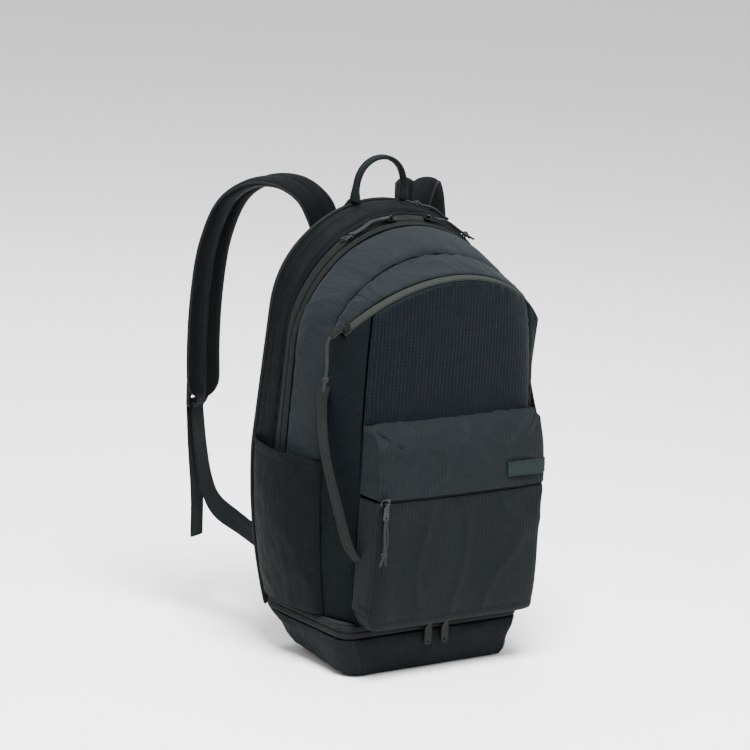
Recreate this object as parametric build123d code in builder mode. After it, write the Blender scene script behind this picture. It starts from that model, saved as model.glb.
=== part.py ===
from build123d import *
import os
from math import asin, atan2, cos, radians, sin, sqrt, tan

# A racket backpack, standing on its shoe compartment. Millimetres.
# +X is the wearer's right, +Y points to the wearer's back, +Z is up,
# and the origin is on the ground under the middle of the bag.

os.makedirs("parts", exist_ok=True)

# ---- driving dimensions ----
wall = 2.0  # lined fabric
board = 1.5  # dividers and stiffeners
gap = 1.4  # between a soft wall and a plate inside it

# places along Y, from the back to the front
back_y = 95.0
back_inner_y = 90.0
racket_front_y = 57.0
racket_zip_y = 77.0
main_zip_y = 42.0
main_front_y = -15.0
front_y = -58.0
front_face_y = -62.0
pocket_y = -96.0

# heights
ground = 0.0
shoe_wall_top = 46.0
shoe_zip_top = 59.0
body_floor = 61.0
widest_z = 234.0

zip_tape = 16.0
coil_width = 5.0
coil_height = 1.2

# the front zip is an arc in a plane that leans back
front_arc_r = 170.0
front_arc_lean = radians(24)
front_arc_apex = Vector(0, -60, 436)
front_arc_end = 50.5  # degrees each side of the apex

# metal pullers and their cords
bar_r = 0.8
eye_r = 1.9
eye_clear = 0.25
bar_height = 4.9  # of the bar's middle above the track
puller_length = 20.0
tab_length = 24.0
cord_r = 2.1
knot_r = 3.6

pad_width = 62.0
pad_thick = 12.0
webbing_width = 25.0
webbing_thick = 1.6


# ---- arched outlines of the body ----
class Arch:
    """An upright arch: a bellied foot, a leaning side, a corner arc and a crown arc."""

    def __init__(self, y, top, crown, corner, half, lean, belly):
        self.y = y
        self.top = top
        self.crown = crown
        self.corner = corner
        self.half = half
        self.lean = lean
        self.belly = belly

    def side_x(self, z):
        """Half width at a height below the widest place."""
        return self.half - self.belly + sqrt(self.belly**2 - (z - widest_z) ** 2)

    def between(self, other, y):
        """The arch at y, between this one and another."""
        t = (y - self.y) / (other.y - self.y)
        mix = [
            a + (b - a) * t
            for a, b in (
                (self.top, other.top),
                (self.crown, other.crown),
                (self.corner, other.corner),
                (self.half, other.half),
                (self.lean, other.lean),
                (self.belly, other.belly),
            )
        ]
        return Arch(y, *mix)

    def outline(self, inset=0.0, floor=body_floor):
        """The closed outline, pulled in by inset, as a sketch standing at y."""
        lean = radians(self.lean)
        crown_z = self.top - self.crown
        start_x = self.half - self.corner * cos(lean)
        start_z = widest_z - self.corner * sin(lean)
        b = -start_x * sin(lean) + (start_z - crown_z) * cos(lean)
        c = start_x**2 + (start_z - crown_z) ** 2 - (self.crown - self.corner) ** 2
        along = -b + sqrt(b * b - c)
        corner_x = start_x - along * sin(lean)
        corner_z = start_z + along * cos(lean)
        turn = atan2(corner_z - crown_z, corner_x)
        corner_r = self.corner - inset
        crown_r = self.crown - inset
        belly_r = self.belly - inset
        belly_x = self.half - self.belly
        foot_turn = asin((floor - widest_z) / belly_r)
        foot = (belly_x + belly_r * cos(foot_turn), floor)
        low = (belly_x + belly_r * cos(foot_turn / 2), widest_z + belly_r * sin(foot_turn / 2))
        side = (self.half - inset, widest_z)
        shoulder = (corner_x + corner_r * cos(lean), corner_z + corner_r * sin(lean))
        middle = (lean + turn) / 2
        corner_mid = (corner_x + corner_r * cos(middle), corner_z + corner_r * sin(middle))
        crown_end = (crown_r * cos(turn), crown_z + crown_r * sin(turn))
        high = (turn + radians(90)) / 2
        crown_mid = (crown_r * cos(high), crown_z + crown_r * sin(high))
        with BuildSketch(Plane((0, self.y, 0), x_dir=(1, 0, 0), z_dir=(0, -1, 0))) as face:
            with BuildLine():
                ThreePointArc(foot, low, side)
                Line(side, shoulder)
                ThreePointArc(shoulder, corner_mid, crown_end)
                ThreePointArc(crown_end, crown_mid, (0, self.top - inset))
                mirror(about=Plane.YZ)
                Line((-foot[0], floor), foot)
            make_face()
        return face.sketch


back = Arch(back_y, top=494, crown=146, corner=105, half=147, lean=5, belly=600)
racket_seam = Arch(racket_front_y, top=489, crown=150, corner=110, half=150, lean=4, belly=640)
main_seam = Arch(main_zip_y, top=480, crown=146, corner=100, half=150, lean=2.6, belly=700)
pocket_seam = Arch(main_front_y, top=455, crown=160, corner=75, half=136, lean=1, belly=900)
front = Arch(front_y, top=433, crown=225, corner=38, half=114, lean=0, belly=1400)


def tube(near, far, floor=body_floor):
    """A fabric wall between two arches, open at both ends and below."""
    below = floor - 10
    outer = [near.outline(0, floor), far.outline(0, floor)]
    inner = [near.outline(wall, below), far.outline(wall, below)]
    with BuildPart() as walls:
        loft(sections=outer)
        loft(sections=inner, mode=Mode.SUBTRACT)
    return walls.part


def plate(arch, thick, inset=0.0, floor=body_floor):
    """A flat panel of the arch's shape, from its station towards the front."""
    shape = arch.outline(inset, floor)
    with BuildPart() as panel:
        extrude(shape, amount=thick)
    return panel.part


def block(low, high):
    """A box from its lowest to its highest corner."""
    size = [b - a for a, b in zip(low, high)]
    middle = [(a + b) / 2 for a, b in zip(low, high)]
    with BuildPart() as solid:
        with Locations(Vector(*middle)):
            Box(*size)
    return solid.part


def save(part, name):
    """Labels a finished piece and writes it."""
    part.label = name
    export_step(part, f"parts/{name}.step")


def ribbon(points, widths, width, thick, round_edge=0.0):
    """A flat strap through points, each with the direction of its width."""
    spots = [Vector(p) for p in points]
    sections = []
    for i, spot in enumerate(spots):
        ahead = spots[min(i + 1, len(spots) - 1)]
        behind = spots[max(i - 1, 0)]
        along = (ahead - behind).normalized()
        across = Vector(widths[i]).normalized()
        along = (along - across * along.dot(across)).normalized()
        with BuildSketch(Plane(spot, x_dir=across, z_dir=along)) as section:
            if round_edge:
                RectangleRounded(width, thick, round_edge)
            else:
                Rectangle(width, thick)
        sections.append(section.sketch)
    with BuildPart() as strap:
        loft(sections=sections, ruled=True)
    return strap.part


# ---- racket compartment ----
racket_back = back.between(racket_seam, back_inner_y)
zip_window = block((18, racket_zip_y - zip_tape / 2, 330), (170, racket_zip_y + zip_tape / 2, 520))
mouth_near_x = 92.0
mouth_far_x = 141.0
mouth_half = 12.5
mouth_floor_z = 372.0

with BuildSketch(Plane.XY.offset(mouth_floor_z)) as mouth_shape:
    with BuildLine():
        mouth_mid_x = (mouth_near_x + mouth_far_x) / 2
        ThreePointArc(
            (mouth_near_x, racket_zip_y),
            (mouth_mid_x, racket_zip_y - mouth_half),
            (mouth_far_x, racket_zip_y),
        )
        ThreePointArc(
            (mouth_far_x, racket_zip_y),
            (mouth_mid_x, racket_zip_y + mouth_half),
            (mouth_near_x, racket_zip_y),
        )
    make_face()
with BuildPart() as mouth_tool:
    extrude(mouth_shape.sketch, amount=140)
mouth = mouth_tool.part
racket_wall = tube(racket_back, racket_seam)

with BuildPart() as racket_gusset:
    add(racket_wall)
    add(zip_window, mode=Mode.SUBTRACT)
    add(mouth, mode=Mode.SUBTRACT)
save(racket_gusset.part, "racket_gusset")

with BuildPart() as racket_zip:
    add(racket_wall)
    add(zip_window, mode=Mode.INTERSECT)
    add(mouth, mode=Mode.SUBTRACT)
save(racket_zip.part, "racket_zip")

back_panel = plate(back, back_y - back_inner_y, 0, shoe_wall_top)
save(back_panel, "back_panel")

stiffener_arch = back.between(racket_seam, back_inner_y - 0.5)
back_stiffener = plate(stiffener_arch, board, 8, body_floor + 4)
save(back_stiffener, "back_stiffener")

divider_arch = racket_seam.between(main_seam, racket_front_y - 2)
racket_divider = plate(divider_arch, board, wall + gap, body_floor + 1)
save(racket_divider, "racket_divider")

# ---- main compartment ----
tape_rear = racket_seam.between(main_seam, main_zip_y + zip_tape / 2)
tape_front = main_seam.between(pocket_seam, main_zip_y - zip_tape / 2)

main_gusset_rear = tube(racket_seam, tape_rear)
save(main_gusset_rear, "main_gusset_rear")

coil_rear = racket_seam.between(main_seam, main_zip_y + coil_width / 2)
coil_front = main_seam.between(pocket_seam, main_zip_y - coil_width / 2)
hollow_floor = body_floor - 10
coil_back = [coil_rear.outline(-coil_height), main_seam.outline(-coil_height)]
coil_near = [main_seam.outline(-coil_height), coil_front.outline(-coil_height)]
hollow_back = [tape_rear.outline(wall, hollow_floor), main_seam.outline(wall, hollow_floor)]
hollow_near = [main_seam.outline(wall, hollow_floor), tape_front.outline(wall, hollow_floor)]
tape_back = tube(tape_rear, main_seam)
tape_near = tube(main_seam, tape_front)
with BuildPart() as main_zip:
    loft(sections=coil_back)
    loft(sections=coil_near)
    loft(sections=hollow_back, mode=Mode.SUBTRACT)
    loft(sections=hollow_near, mode=Mode.SUBTRACT)
    add(tape_back)
    add(tape_near)
save(main_zip.part, "main_zip")

main_gusset_front = tube(tape_front, pocket_seam)
save(main_gusset_front, "main_gusset_front")

front_divider_arch = main_seam.between(pocket_seam, main_front_y + board + 0.5)
front_divider = plate(front_divider_arch, board, wall + gap, body_floor + 1)
save(front_divider, "front_divider")

# ---- front compartment with its arched zip ----
lean_up = Vector(0, -sin(front_arc_lean), cos(front_arc_lean))
arc_axis = Vector(0, cos(front_arc_lean), sin(front_arc_lean))
arc_centre = front_arc_apex - lean_up * front_arc_r


def front_outward(degrees_from_apex):
    """The direction from the arc's centre at an angle from its apex, positive towards +X."""
    turn = radians(degrees_from_apex)
    return Vector(1, 0, 0) * sin(turn) + lean_up * cos(turn)


def arc_band(inner, outer, width, half_angle):
    """A band that follows the front zip, between two heights above its line."""
    start = front_outward(-half_angle)
    plane = Plane(arc_centre, x_dir=start, z_dir=start.cross(arc_axis))
    with BuildSketch(plane) as profile:
        with Locations((front_arc_r + (inner + outer) / 2, 0)):
            Rectangle(outer - inner, width)
    with BuildPart() as band:
        revolve(profile.sketch, axis=Axis(arc_centre, arc_axis), revolution_arc=2 * half_angle)
    return band.part


zip_channel = arc_band(-1.5, 16, 11.0, front_arc_end + 6)

front_tape = arc_band(-1.5, 1.5, 10.6, front_arc_end)
front_coil = arc_band(1.4, 1.5 + coil_height, coil_width, front_arc_end)
with BuildPart() as front_zip:
    add(front_tape)
    add(front_coil)
save(front_zip.part, "front_zip")

front_wall = tube(pocket_seam, front)
with BuildPart() as front_gusset:
    add(front_wall)
    add(zip_channel, mode=Mode.SUBTRACT)
save(front_gusset.part, "front_gusset")

panel_faces = [front.outline(), pocket_seam.between(front, front_face_y).outline(3)]
with BuildPart() as front_panel:
    loft(sections=panel_faces)
    add(zip_channel, mode=Mode.SUBTRACT)
save(front_panel.part, "front_panel")

# ---- front pocket ----
pocket_half = 115.0
pocket_zip_low = 203.0
pocket_zip_high = 212.0
pocket_profile = [
    (front_face_y, 60),
    (-88, 60),
    (pocket_y + 1, 120),
    (pocket_y, 200),
    (pocket_y, 216),
    (-93, 255),
    (-84, 270),
    (front_face_y, 286),
]


def pocket_slab(profile, half):
    """The pocket's side profile drawn out to both sides."""
    with BuildSketch(Plane.YZ.offset(-half)) as side:
        with BuildLine():
            Polyline(*profile, close=True)
        make_face()
    with BuildPart() as slab:
        extrude(side.sketch, amount=2 * half)
    return slab.part


with BuildSketch(Plane.YZ.offset(wall - pocket_half)) as pocket_inside:
    with BuildLine():
        Polyline(*pocket_profile, close=True)
    make_face()
    offset(amount=-wall)
    with BuildLine():
        Polyline((front_face_y, 62), (-64.5, 62), (-64.5, 284), (front_face_y, 284), close=True)
    make_face()
pocket_block = pocket_slab(pocket_profile, pocket_half)
with BuildPart() as pocket_walls:
    add(pocket_block)
    extrude(pocket_inside.sketch, amount=2 * (pocket_half - wall), mode=Mode.SUBTRACT)
pocket_shell = pocket_walls.part
reach = pocket_half + 5
zip_cut = block((-reach, -110, pocket_zip_low), (reach, front_face_y + 1, pocket_zip_high))
upper_cut = block((-reach, -110, pocket_zip_high), (reach, front_face_y + 1, 300))
lower_cut = block((-reach, -110, 50), (reach, front_face_y + 1, pocket_zip_low))

with BuildPart() as pocket_upper:
    add(pocket_shell)
    add(upper_cut, mode=Mode.INTERSECT)
save(pocket_upper.part, "pocket_upper")

with BuildPart() as pocket_lower:
    add(pocket_shell)
    add(lower_cut, mode=Mode.INTERSECT)
save(pocket_lower.part, "pocket_lower")

pocket_coil_z = (pocket_zip_low + pocket_zip_high) / 2
pocket_coil = block(
    (-pocket_half + 1, pocket_y - coil_height, pocket_coil_z - coil_width / 2),
    (pocket_half - 8, pocket_y + 0.1, pocket_coil_z + coil_width / 2),
)
with BuildPart() as pocket_zip:
    add(pocket_shell)
    add(zip_cut, mode=Mode.INTERSECT)
    add(pocket_coil)
save(pocket_zip.part, "pocket_zip")

with BuildPart() as label_patch:
    with BuildSketch(Plane.YZ.offset(57)):
        with BuildLine():
            Polyline((-95.9, 219), (-94.7, 235), (-96.3, 235.2), (-97.5, 219.2), close=True)
        make_face()
    extrude(amount=56)
save(label_patch.part, "label_patch")


# ---- side pockets ----
def side_pocket(side):
    """A pleated outer wall that stands off the body's side, open at the top."""
    sections = []
    for z, room in ((body_floor + 1, 3), (110, 6), (170, 9), (239, 11)):
        rear = back.side_x(min(z, widest_z)) + 3.6
        middle = main_seam.side_x(min(z, widest_z)) + room + wall
        near = pocket_seam.side_x(min(z, widest_z)) + 3.6
        with BuildSketch(Plane.XY.offset(z)) as band:
            with BuildLine():
                ThreePointArc((side * rear, 90), (side * middle, 38), (side * near, -18))
                Line((side * near, -18), (side * (near - wall), -17))
                ThreePointArc(
                    (side * (near - wall), -17),
                    (side * (middle - wall), 38),
                    (side * (rear - wall), 89),
                )
                Line((side * (rear - wall), 89), (side * rear, 90))
            make_face()
        sections.append(band.sketch)
    with BuildPart() as pocket:
        loft(sections=sections)
    return pocket.part


for side, word in ((-1, "left"), (1, "right")):
    save(side_pocket(side), f"side_pocket_{word}")


# ---- shoe compartment ----
def rounded(z, half, near_y, far_y, corner, inset=0.0):
    """A rounded rectangle lying at z, pulled in by inset."""
    plane = Plane((0, (near_y + far_y) / 2, z))
    with BuildSketch(plane) as shape:
        RectangleRounded(2 * (half - inset), far_y - near_y - 2 * inset, corner - inset)
    return shape.sketch


shoe_half = 121.0
shoe_front_y = -60.0
shoe_corner = 20.0
levels = (
    (ground, 98, -50, 60, 18),
    (18, 112, -58, 82, 24),
    (shoe_wall_top, shoe_half, shoe_front_y, back_inner_y, shoe_corner),
)
inner_levels = (
    (ground + wall, 99, -51, 62, 18),
    (18, 112, -58, 82, 24),
    (shoe_wall_top + 1, shoe_half, shoe_front_y, back_inner_y, shoe_corner),
)
shoe_outer = [rounded(*level) for level in levels]
shoe_inner = [rounded(*level, inset=wall) for level in inner_levels]
with BuildPart() as bottom_shell:
    loft(sections=shoe_outer)
    loft(sections=shoe_inner, mode=Mode.SUBTRACT)
save(bottom_shell.part, "bottom_shell")

zip_outer = rounded(shoe_wall_top, shoe_half, shoe_front_y, back_inner_y, shoe_corner)
zip_inner = rounded(shoe_wall_top, shoe_half, shoe_front_y, back_inner_y, shoe_corner, wall)
with BuildPart() as bottom_zip:
    extrude(zip_outer, amount=shoe_zip_top - shoe_wall_top)
    extrude(zip_inner, amount=shoe_zip_top - shoe_wall_top, mode=Mode.SUBTRACT)
save(bottom_zip.part, "bottom_zip")

floor_shape = rounded(shoe_zip_top, shoe_half - 0.5, shoe_front_y + 3, back_inner_y - 0.5, shoe_corner)
with BuildPart() as floor_divider:
    extrude(floor_shape, amount=board)
save(floor_divider.part, "floor_divider")

board_shape = rounded(ground + wall + 0.4, 86, -40, 50, 12)
with BuildPart() as base_board:
    extrude(board_shape, amount=board)
save(base_board.part, "base_board")

# ---- back padding and anchors ----
with BuildPart() as back_pads:
    with BuildSketch(Plane((0, back_y, 0), x_dir=(-1, 0, 0), z_dir=(0, 1, 0))):
        with Locations((-57, 255), (57, 255)):
            RectangleRounded(90, 300, 24)
    extrude(amount=8)
    fillet(back_pads.faces().sort_by(Axis.Y)[-2:].edges(), radius=5)
save(back_pads.part, "back_pads")

with BuildPart() as strap_yoke:
    with BuildSketch(Plane((0, back_y, 0), x_dir=(-1, 0, 0), z_dir=(0, 1, 0))):
        with Locations((0, 442)):
            RectangleRounded(176, 40, 6)
    extrude(amount=board)
save(strap_yoke.part, "strap_yoke")

with BuildPart() as webbing_anchors:
    with BuildSketch(Plane((0, back_y, 0), x_dir=(-1, 0, 0), z_dir=(0, 1, 0))):
        for side in (-1, 1):
            with BuildLine():
                Polyline(
                    (side * 84, 84),
                    (side * 84, 96),
                    (side * 119, 126),
                    (side * 119, 98),
                    close=True,
                )
            make_face()
    extrude(amount=3)
save(webbing_anchors.part, "webbing_anchors")

# ---- compression straps on the sides ----
for side, word in ((-1, "left"), (1, "right")):
    strap_points = [(side * 142, -12, 319), (side * 149, -34, 250), (side * 121, -62, 136)]
    strap_widths = [(side * 0.3, -1, 0), (side * 0.4, -1, 0), (side * 0.5, -1, 0)]
    side_strap = ribbon(strap_points, strap_widths, 18, 2)
    save(side_strap, f"side_strap_{word}")

# ---- haul loop ----
loop_half = 33.0
loop_foot_z = 498.0
loop_rise = 44.0
loop_points = []
loop_widths = []
for step in range(13):
    turn = radians(180 - 15 * step)
    lift = sin(turn) ** 0.72 if sin(turn) > 0 else 0.0
    loop_points.append((loop_half * cos(turn), 90, loop_foot_z + loop_rise * lift))
    loop_widths.append((0, 1, 0))
haul_loop = ribbon(loop_points, loop_widths, 11, 4.4)
save(haul_loop, "haul_loop")

# ---- zip sliders, pullers and pull cords ----


def slider(spot, pull, outward, along, across, shift=0.0):
    """A slider whose bar is at spot. The pull direction and the outward direction are given,
    the sizes of its body along and across the pull, and how far the body is shifted along it."""
    plane = Plane(spot, x_dir=pull, z_dir=outward)
    body = plane.offset(-bar_height + 1.9)
    with BuildPart() as made:
        with BuildSketch(body):
            with Locations((shift, 0)):
                RectangleRounded(along, across, 2)
        extrude(amount=0.8)
        with BuildSketch(body):
            with Locations((0, -2.75), (0, 2.75)):
                Rectangle(2.4, 1.0)
        extrude(amount=bar_height - 1.9 + bar_r)
        with BuildSketch(Plane(spot - plane.y_dir * 3.2, x_dir=pull, z_dir=plane.y_dir)):
            Circle(bar_r)
        extrude(amount=6.4)
    return made.part


def puller(spot, pull, outward, length, width):
    """A metal tab that hangs on the slider's bar."""
    plane = Plane(spot, x_dir=pull, z_dir=outward)
    half_eye = 2.0
    with BuildPart() as made:
        with BuildSketch(Plane(spot - plane.y_dir * half_eye, x_dir=pull, z_dir=plane.y_dir)):
            Circle(eye_r)
            Circle(bar_r + eye_clear, mode=Mode.SUBTRACT)
        extrude(amount=2 * half_eye)
        with BuildSketch(plane.offset(-0.75)):
            with Locations(((eye_r + length) / 2 - 0.25, 0)):
                SlotOverall(length - eye_r + 0.5, width)
            with Locations((length - 4.0, 0)):
                SlotOverall(3.0, 2.2, rotation=90, mode=Mode.SUBTRACT)
        extrude(amount=1.5)
        with BuildSketch(Plane(spot - plane.y_dir * half_eye, x_dir=pull, z_dir=plane.y_dir)):
            Circle(bar_r + eye_clear)
        extrude(amount=2 * half_eye, mode=Mode.SUBTRACT)
    return made.part


def cord_tube(points, name):
    """A doubled pull cord: straight runs joined by arcs as large as the runs allow."""
    spots = [Vector(p) for p in points]
    bends = []
    for before, here, after in zip(spots, spots[1:], spots[2:]):
        turn = radians((here - before).get_angle(after - here))
        run = min((here - before).length, (after - here).length)
        bends.append(0.45 * run / tan(turn / 2))
    print(name, "bend radii", [round(r, 1) for r in bends])
    with BuildLine() as route:
        FilletPolyline(*spots, radius=bends)
    path = route.wire()
    with BuildPart() as cord:
        with BuildSketch(Plane(path @ 0, z_dir=path % 0)) as section:
            Circle(cord_r)
        sweep(path=path)
    share = cord.part.volume / (section.sketch.area * path.length)
    print(name, "length", round(path.length, 1), "volume share", round(share, 4))
    return cord.part


def knot(spot, along):
    """A tied knot at the cord's end, with its two cut tails."""
    plane = Plane(spot, z_dir=along)
    with BuildPart() as made:
        with BuildSketch(plane):
            Circle(knot_r)
        extrude(amount=7)
        chamfer(made.edges(), length=0.8)
        with BuildSketch(plane.offset(6.5)):
            with Locations((-1.3, 0), (1.3, 0)):
                Circle(1.1)
        extrude(amount=10)
    return made.part


def on_circle(centre_z, y, radius, degrees_from_top):
    """A point on an upright circle about the Y direction, positive towards +X."""
    turn = radians(degrees_from_top)
    return Vector(radius * sin(turn), y, centre_z + radius * cos(turn))


def top_outward(degrees_from_top):
    turn = radians(degrees_from_top)
    return Vector(sin(turn), 0, cos(turn))


def top_along(degrees_from_top):
    turn = radians(degrees_from_top)
    return Vector(cos(turn), 0, -sin(turn))


def hang_chain(name, spot, pull, outward, points):
    """A puller on its slider's bar, and a cord and knot where points are given."""
    if not points:
        save(puller(spot, pull, outward, tab_length, 9.5), f"{name}_puller")
        return
    save(puller(spot, pull, outward, puller_length, 6), f"{name}_puller")
    tip = spot + pull * puller_length
    route = [tip] + [Vector(p) for p in points]
    save(cord_tube(route, f"{name}_pull_cord"), f"{name}_pull_cord")
    save(knot(route[-1], (route[-1] - route[-2]).normalized()), f"{name}_pull_knot")


main_centre_z = main_seam.top - main_seam.crown
main_bar_r = main_seam.crown + coil_height + bar_height
racket_arch = back.between(racket_seam, racket_zip_y)
racket_centre_z = racket_arch.top - racket_arch.crown
racket_bar_r = racket_arch.crown + 0.6 + bar_height
along_body = (12, 8)
crosswise_body = (8, 12)


def arc_points(centre_z, y, steps):
    """Cord points that lie along an upright circle: each step is an angle, a radius and a sideways shift."""
    return [on_circle(centre_z, y + shift, radius, angle) for angle, radius, shift in steps]


main_left_angle = -7.0
main_left_spot = on_circle(main_centre_z, main_zip_y, main_bar_r, main_left_angle)
main_left_out = top_outward(main_left_angle)
main_left_pull = top_along(main_left_angle) * -1.0
main_left_steps = ((-17, 153.4, 1.2), (-20, 152.2, 0.2), (-23.5, 151.6, -1.6), (-27, 151.9, -1.4))
save(slider(main_left_spot, main_left_pull, main_left_out, *along_body), "main_left_slider")
main_left_cord = arc_points(main_centre_z, main_zip_y, main_left_steps)
hang_chain("main_left", main_left_spot, main_left_pull, main_left_out, main_left_cord)

main_right_angle = 13.0
main_right_spot = on_circle(main_centre_z, main_zip_y, main_bar_r, main_right_angle)
main_right_out = top_outward(main_right_angle)
main_right_pull = top_along(main_right_angle)
main_right_steps = ((23, 153.4, -1.2), (26, 152.2, -1.8), (29.5, 151.6, -0.4), (33.5, 152.2, 0.4))
save(slider(main_right_spot, main_right_pull, main_right_out, *along_body), "main_right_slider")
main_right_cord = arc_points(main_centre_z, main_zip_y, main_right_steps)
hang_chain("main_right", main_right_spot, main_right_pull, main_right_out, main_right_cord)

racket_angle = 34.0
racket_steps = ((23.5, 154.6, -0.6), (20.5, 153.2, -1.6), (17.5, 152.6, -1.0))
racket_spot = on_circle(racket_centre_z, racket_zip_y, racket_bar_r, racket_angle)
racket_out = top_outward(racket_angle)
racket_pull = top_along(racket_angle) * -1.0
save(slider(racket_spot, racket_pull, racket_out, *along_body), "racket_slider")
racket_cord = arc_points(racket_centre_z, racket_zip_y, racket_steps)
hang_chain("racket", racket_spot, racket_pull, racket_out, racket_cord)

front_angle = -49.0
front_out = front_outward(front_angle)
front_spot = arc_centre + front_out * (front_arc_r + 1.5 + coil_height + bar_height)
front_lift = radians(4)  # the puller lies along the zip and stands a little off it
front_run = arc_axis.cross(front_out).normalized()
if front_run.Z > 0:
    front_run = front_run * -1.0
front_pull = front_run * cos(front_lift) + front_out * sin(front_lift)
front_along = front_out.cross(arc_axis).normalized()
save(slider(front_spot, front_along, front_out, 9.5, 8, -2.6), "front_slider")
front_tip = front_spot + front_pull * puller_length
front_hang = ((-0.6, 1.2, -9), (0.2, 1.0, -19), (0.4, 0.2, -30), (-0.8, -0.4, -41))
front_cord = [front_tip + Vector(*step) for step in front_hang]
hang_chain("front", front_spot, front_pull, front_pull.cross(arc_axis), front_cord)

down = Vector(0, 0, -1)
forwards = Vector(0, -1, 0)
pocket_spot = Vector(-109, pocket_y - coil_height - bar_height, pocket_coil_z)
pocket_tip = pocket_spot + down * puller_length
pocket_hang = ((1.0, 0.6, -8), (2.4, 1.0, -17), (2.6, 0.4, -26), (1.6, 0.2, -34))
pocket_cord = [pocket_tip + Vector(*step) for step in pocket_hang]
save(slider(pocket_spot, down, forwards, *crosswise_body), "pocket_slider")
hang_chain("pocket", pocket_spot, down, forwards, pocket_cord)

bottom_coil_z = (shoe_wall_top + shoe_zip_top) / 2
for side, word in ((-1, "left"), (1, "right")):
    bottom_spot = Vector(side * 11.5, shoe_front_y - 0.4 - bar_height, bottom_coil_z)
    save(slider(bottom_spot, down, forwards, *crosswise_body), f"bottom_{word}_slider")
    hang_chain(f"bottom_{word}", bottom_spot, down, forwards, [])

# ---- shoulder straps ----
# Each strap's line from its root on the yoke, over the shoulder, to its lower end.
strap_lines = {
    "left": [
        (-55, 104, 449), (-62, 108, 474), (-72, 117, 496), (-90, 137, 510), (-112, 162, 507),
        (-130, 185, 483), (-140, 199, 436), (-143, 205, 380), (-143, 206, 318), (-139, 205, 256),
    ],
    "right": [
        (55, 104, 449), (58, 105, 470), (63, 109, 490), (72, 118, 502), (84, 130, 502),
        (94, 139, 487), (101, 142, 462), (108, 143, 420), (112, 140, 360), (111, 136, 305), (108, 132, 259),
    ],
}
strap_turn = {"left": radians(22), "right": radians(-8)}
lock_gap = 2.0
lock_long = 30.0
lock_thick = 4.0

for side, word in ((-1, "left"), (1, "right")):
    line = [Vector(p) for p in strap_lines[word]]
    turns = [strap_turn[word] * min(1.0, i / 4) for i in range(len(line))]
    across = [Vector(cos(t), sin(t), 0) for t in turns]
    strap_pad = ribbon(line, across, pad_width, pad_thick, 4)
    save(strap_pad, f"strap_pad_{word}")

    end = line[-1]
    width_dir = across[-1]
    strap_down = (line[-1] - line[-2]).normalized()
    outward = width_dir.cross(strap_down).normalized()
    if outward.Y < 0:
        outward = outward * -1.0
    lock_middle = end + outward * (pad_thick / 2 + lock_gap) - strap_down * 6
    lock_plane = Plane(lock_middle, x_dir=width_dir, z_dir=outward)
    with BuildPart() as ladder_lock:
        with BuildSketch(lock_plane):
            RectangleRounded(34, lock_long, 4)
            with Locations((0, -7), (0, 4), (0, 10.6)):
                SlotOverall(26, 4.2, mode=Mode.SUBTRACT)
        extrude(amount=lock_thick)
    save(ladder_lock.part, f"ladder_lock_{word}")

    tail_top = end + outward * (pad_thick / 2 + lock_gap + lock_thick + 3.2) + strap_down * 4
    load_top = end + outward * (pad_thick / 2 + lock_gap + 1.2) + strap_down * 12.5
    reach_y = load_top.Y
    anchor_x = side * 118
    load_line = [
        load_top,
        Vector(load_top.X * 0.97, reach_y - 6, 196),
        Vector(load_top.X * 0.93, reach_y - 13, 158),
        Vector(load_top.X * 0.92, reach_y * 0.7 + 30, 137),
        Vector(anchor_x + side * 4, reach_y * 0.4 + 60, 124),
        Vector(anchor_x, 101, 113),
    ]
    twist = [0, 8, 30, 62, 84, 90]
    load_across = [
        width_dir * cos(radians(t)) + Vector(0, 0, 1) * sin(radians(t)) for t in twist
    ]
    strap_webbing = ribbon(load_line, load_across, webbing_width, webbing_thick)
    save(strap_webbing, f"strap_webbing_{word}")

    tail_line = [
        tail_top,
        tail_top + Vector(side * -3, -4, -52),
        tail_top + Vector(side * -10, -5, -110),
        tail_top + Vector(side * -16, 0, -160),
    ]
    webbing_tail = ribbon(tail_line, [width_dir] * len(tail_line), webbing_width, webbing_thick)
    save(webbing_tail, f"webbing_tail_{word}")
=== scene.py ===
from math import asin, atan2, cos, pi, radians, sin, sqrt

import bmesh
import bpy
import numpy as np
from mathutils import Matrix, Vector


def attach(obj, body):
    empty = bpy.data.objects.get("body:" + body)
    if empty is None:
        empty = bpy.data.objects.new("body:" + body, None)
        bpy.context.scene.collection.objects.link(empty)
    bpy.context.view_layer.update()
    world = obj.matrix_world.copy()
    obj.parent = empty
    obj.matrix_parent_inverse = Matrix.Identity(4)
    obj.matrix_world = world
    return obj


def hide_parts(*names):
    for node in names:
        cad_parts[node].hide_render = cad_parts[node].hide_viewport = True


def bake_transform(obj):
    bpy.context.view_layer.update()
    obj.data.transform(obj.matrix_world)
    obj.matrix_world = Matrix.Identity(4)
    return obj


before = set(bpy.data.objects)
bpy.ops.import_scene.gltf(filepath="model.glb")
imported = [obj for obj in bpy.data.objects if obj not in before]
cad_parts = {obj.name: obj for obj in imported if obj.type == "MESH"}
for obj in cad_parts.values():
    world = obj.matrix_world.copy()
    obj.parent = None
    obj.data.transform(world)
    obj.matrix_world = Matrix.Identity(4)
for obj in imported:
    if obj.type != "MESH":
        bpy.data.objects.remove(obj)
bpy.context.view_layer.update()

# A racket backpack. Lengths in this script are millimetres, as in the CAD model, and become
# metres where a mesh, curve or point is handed to Blender.
MM = 0.001

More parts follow.
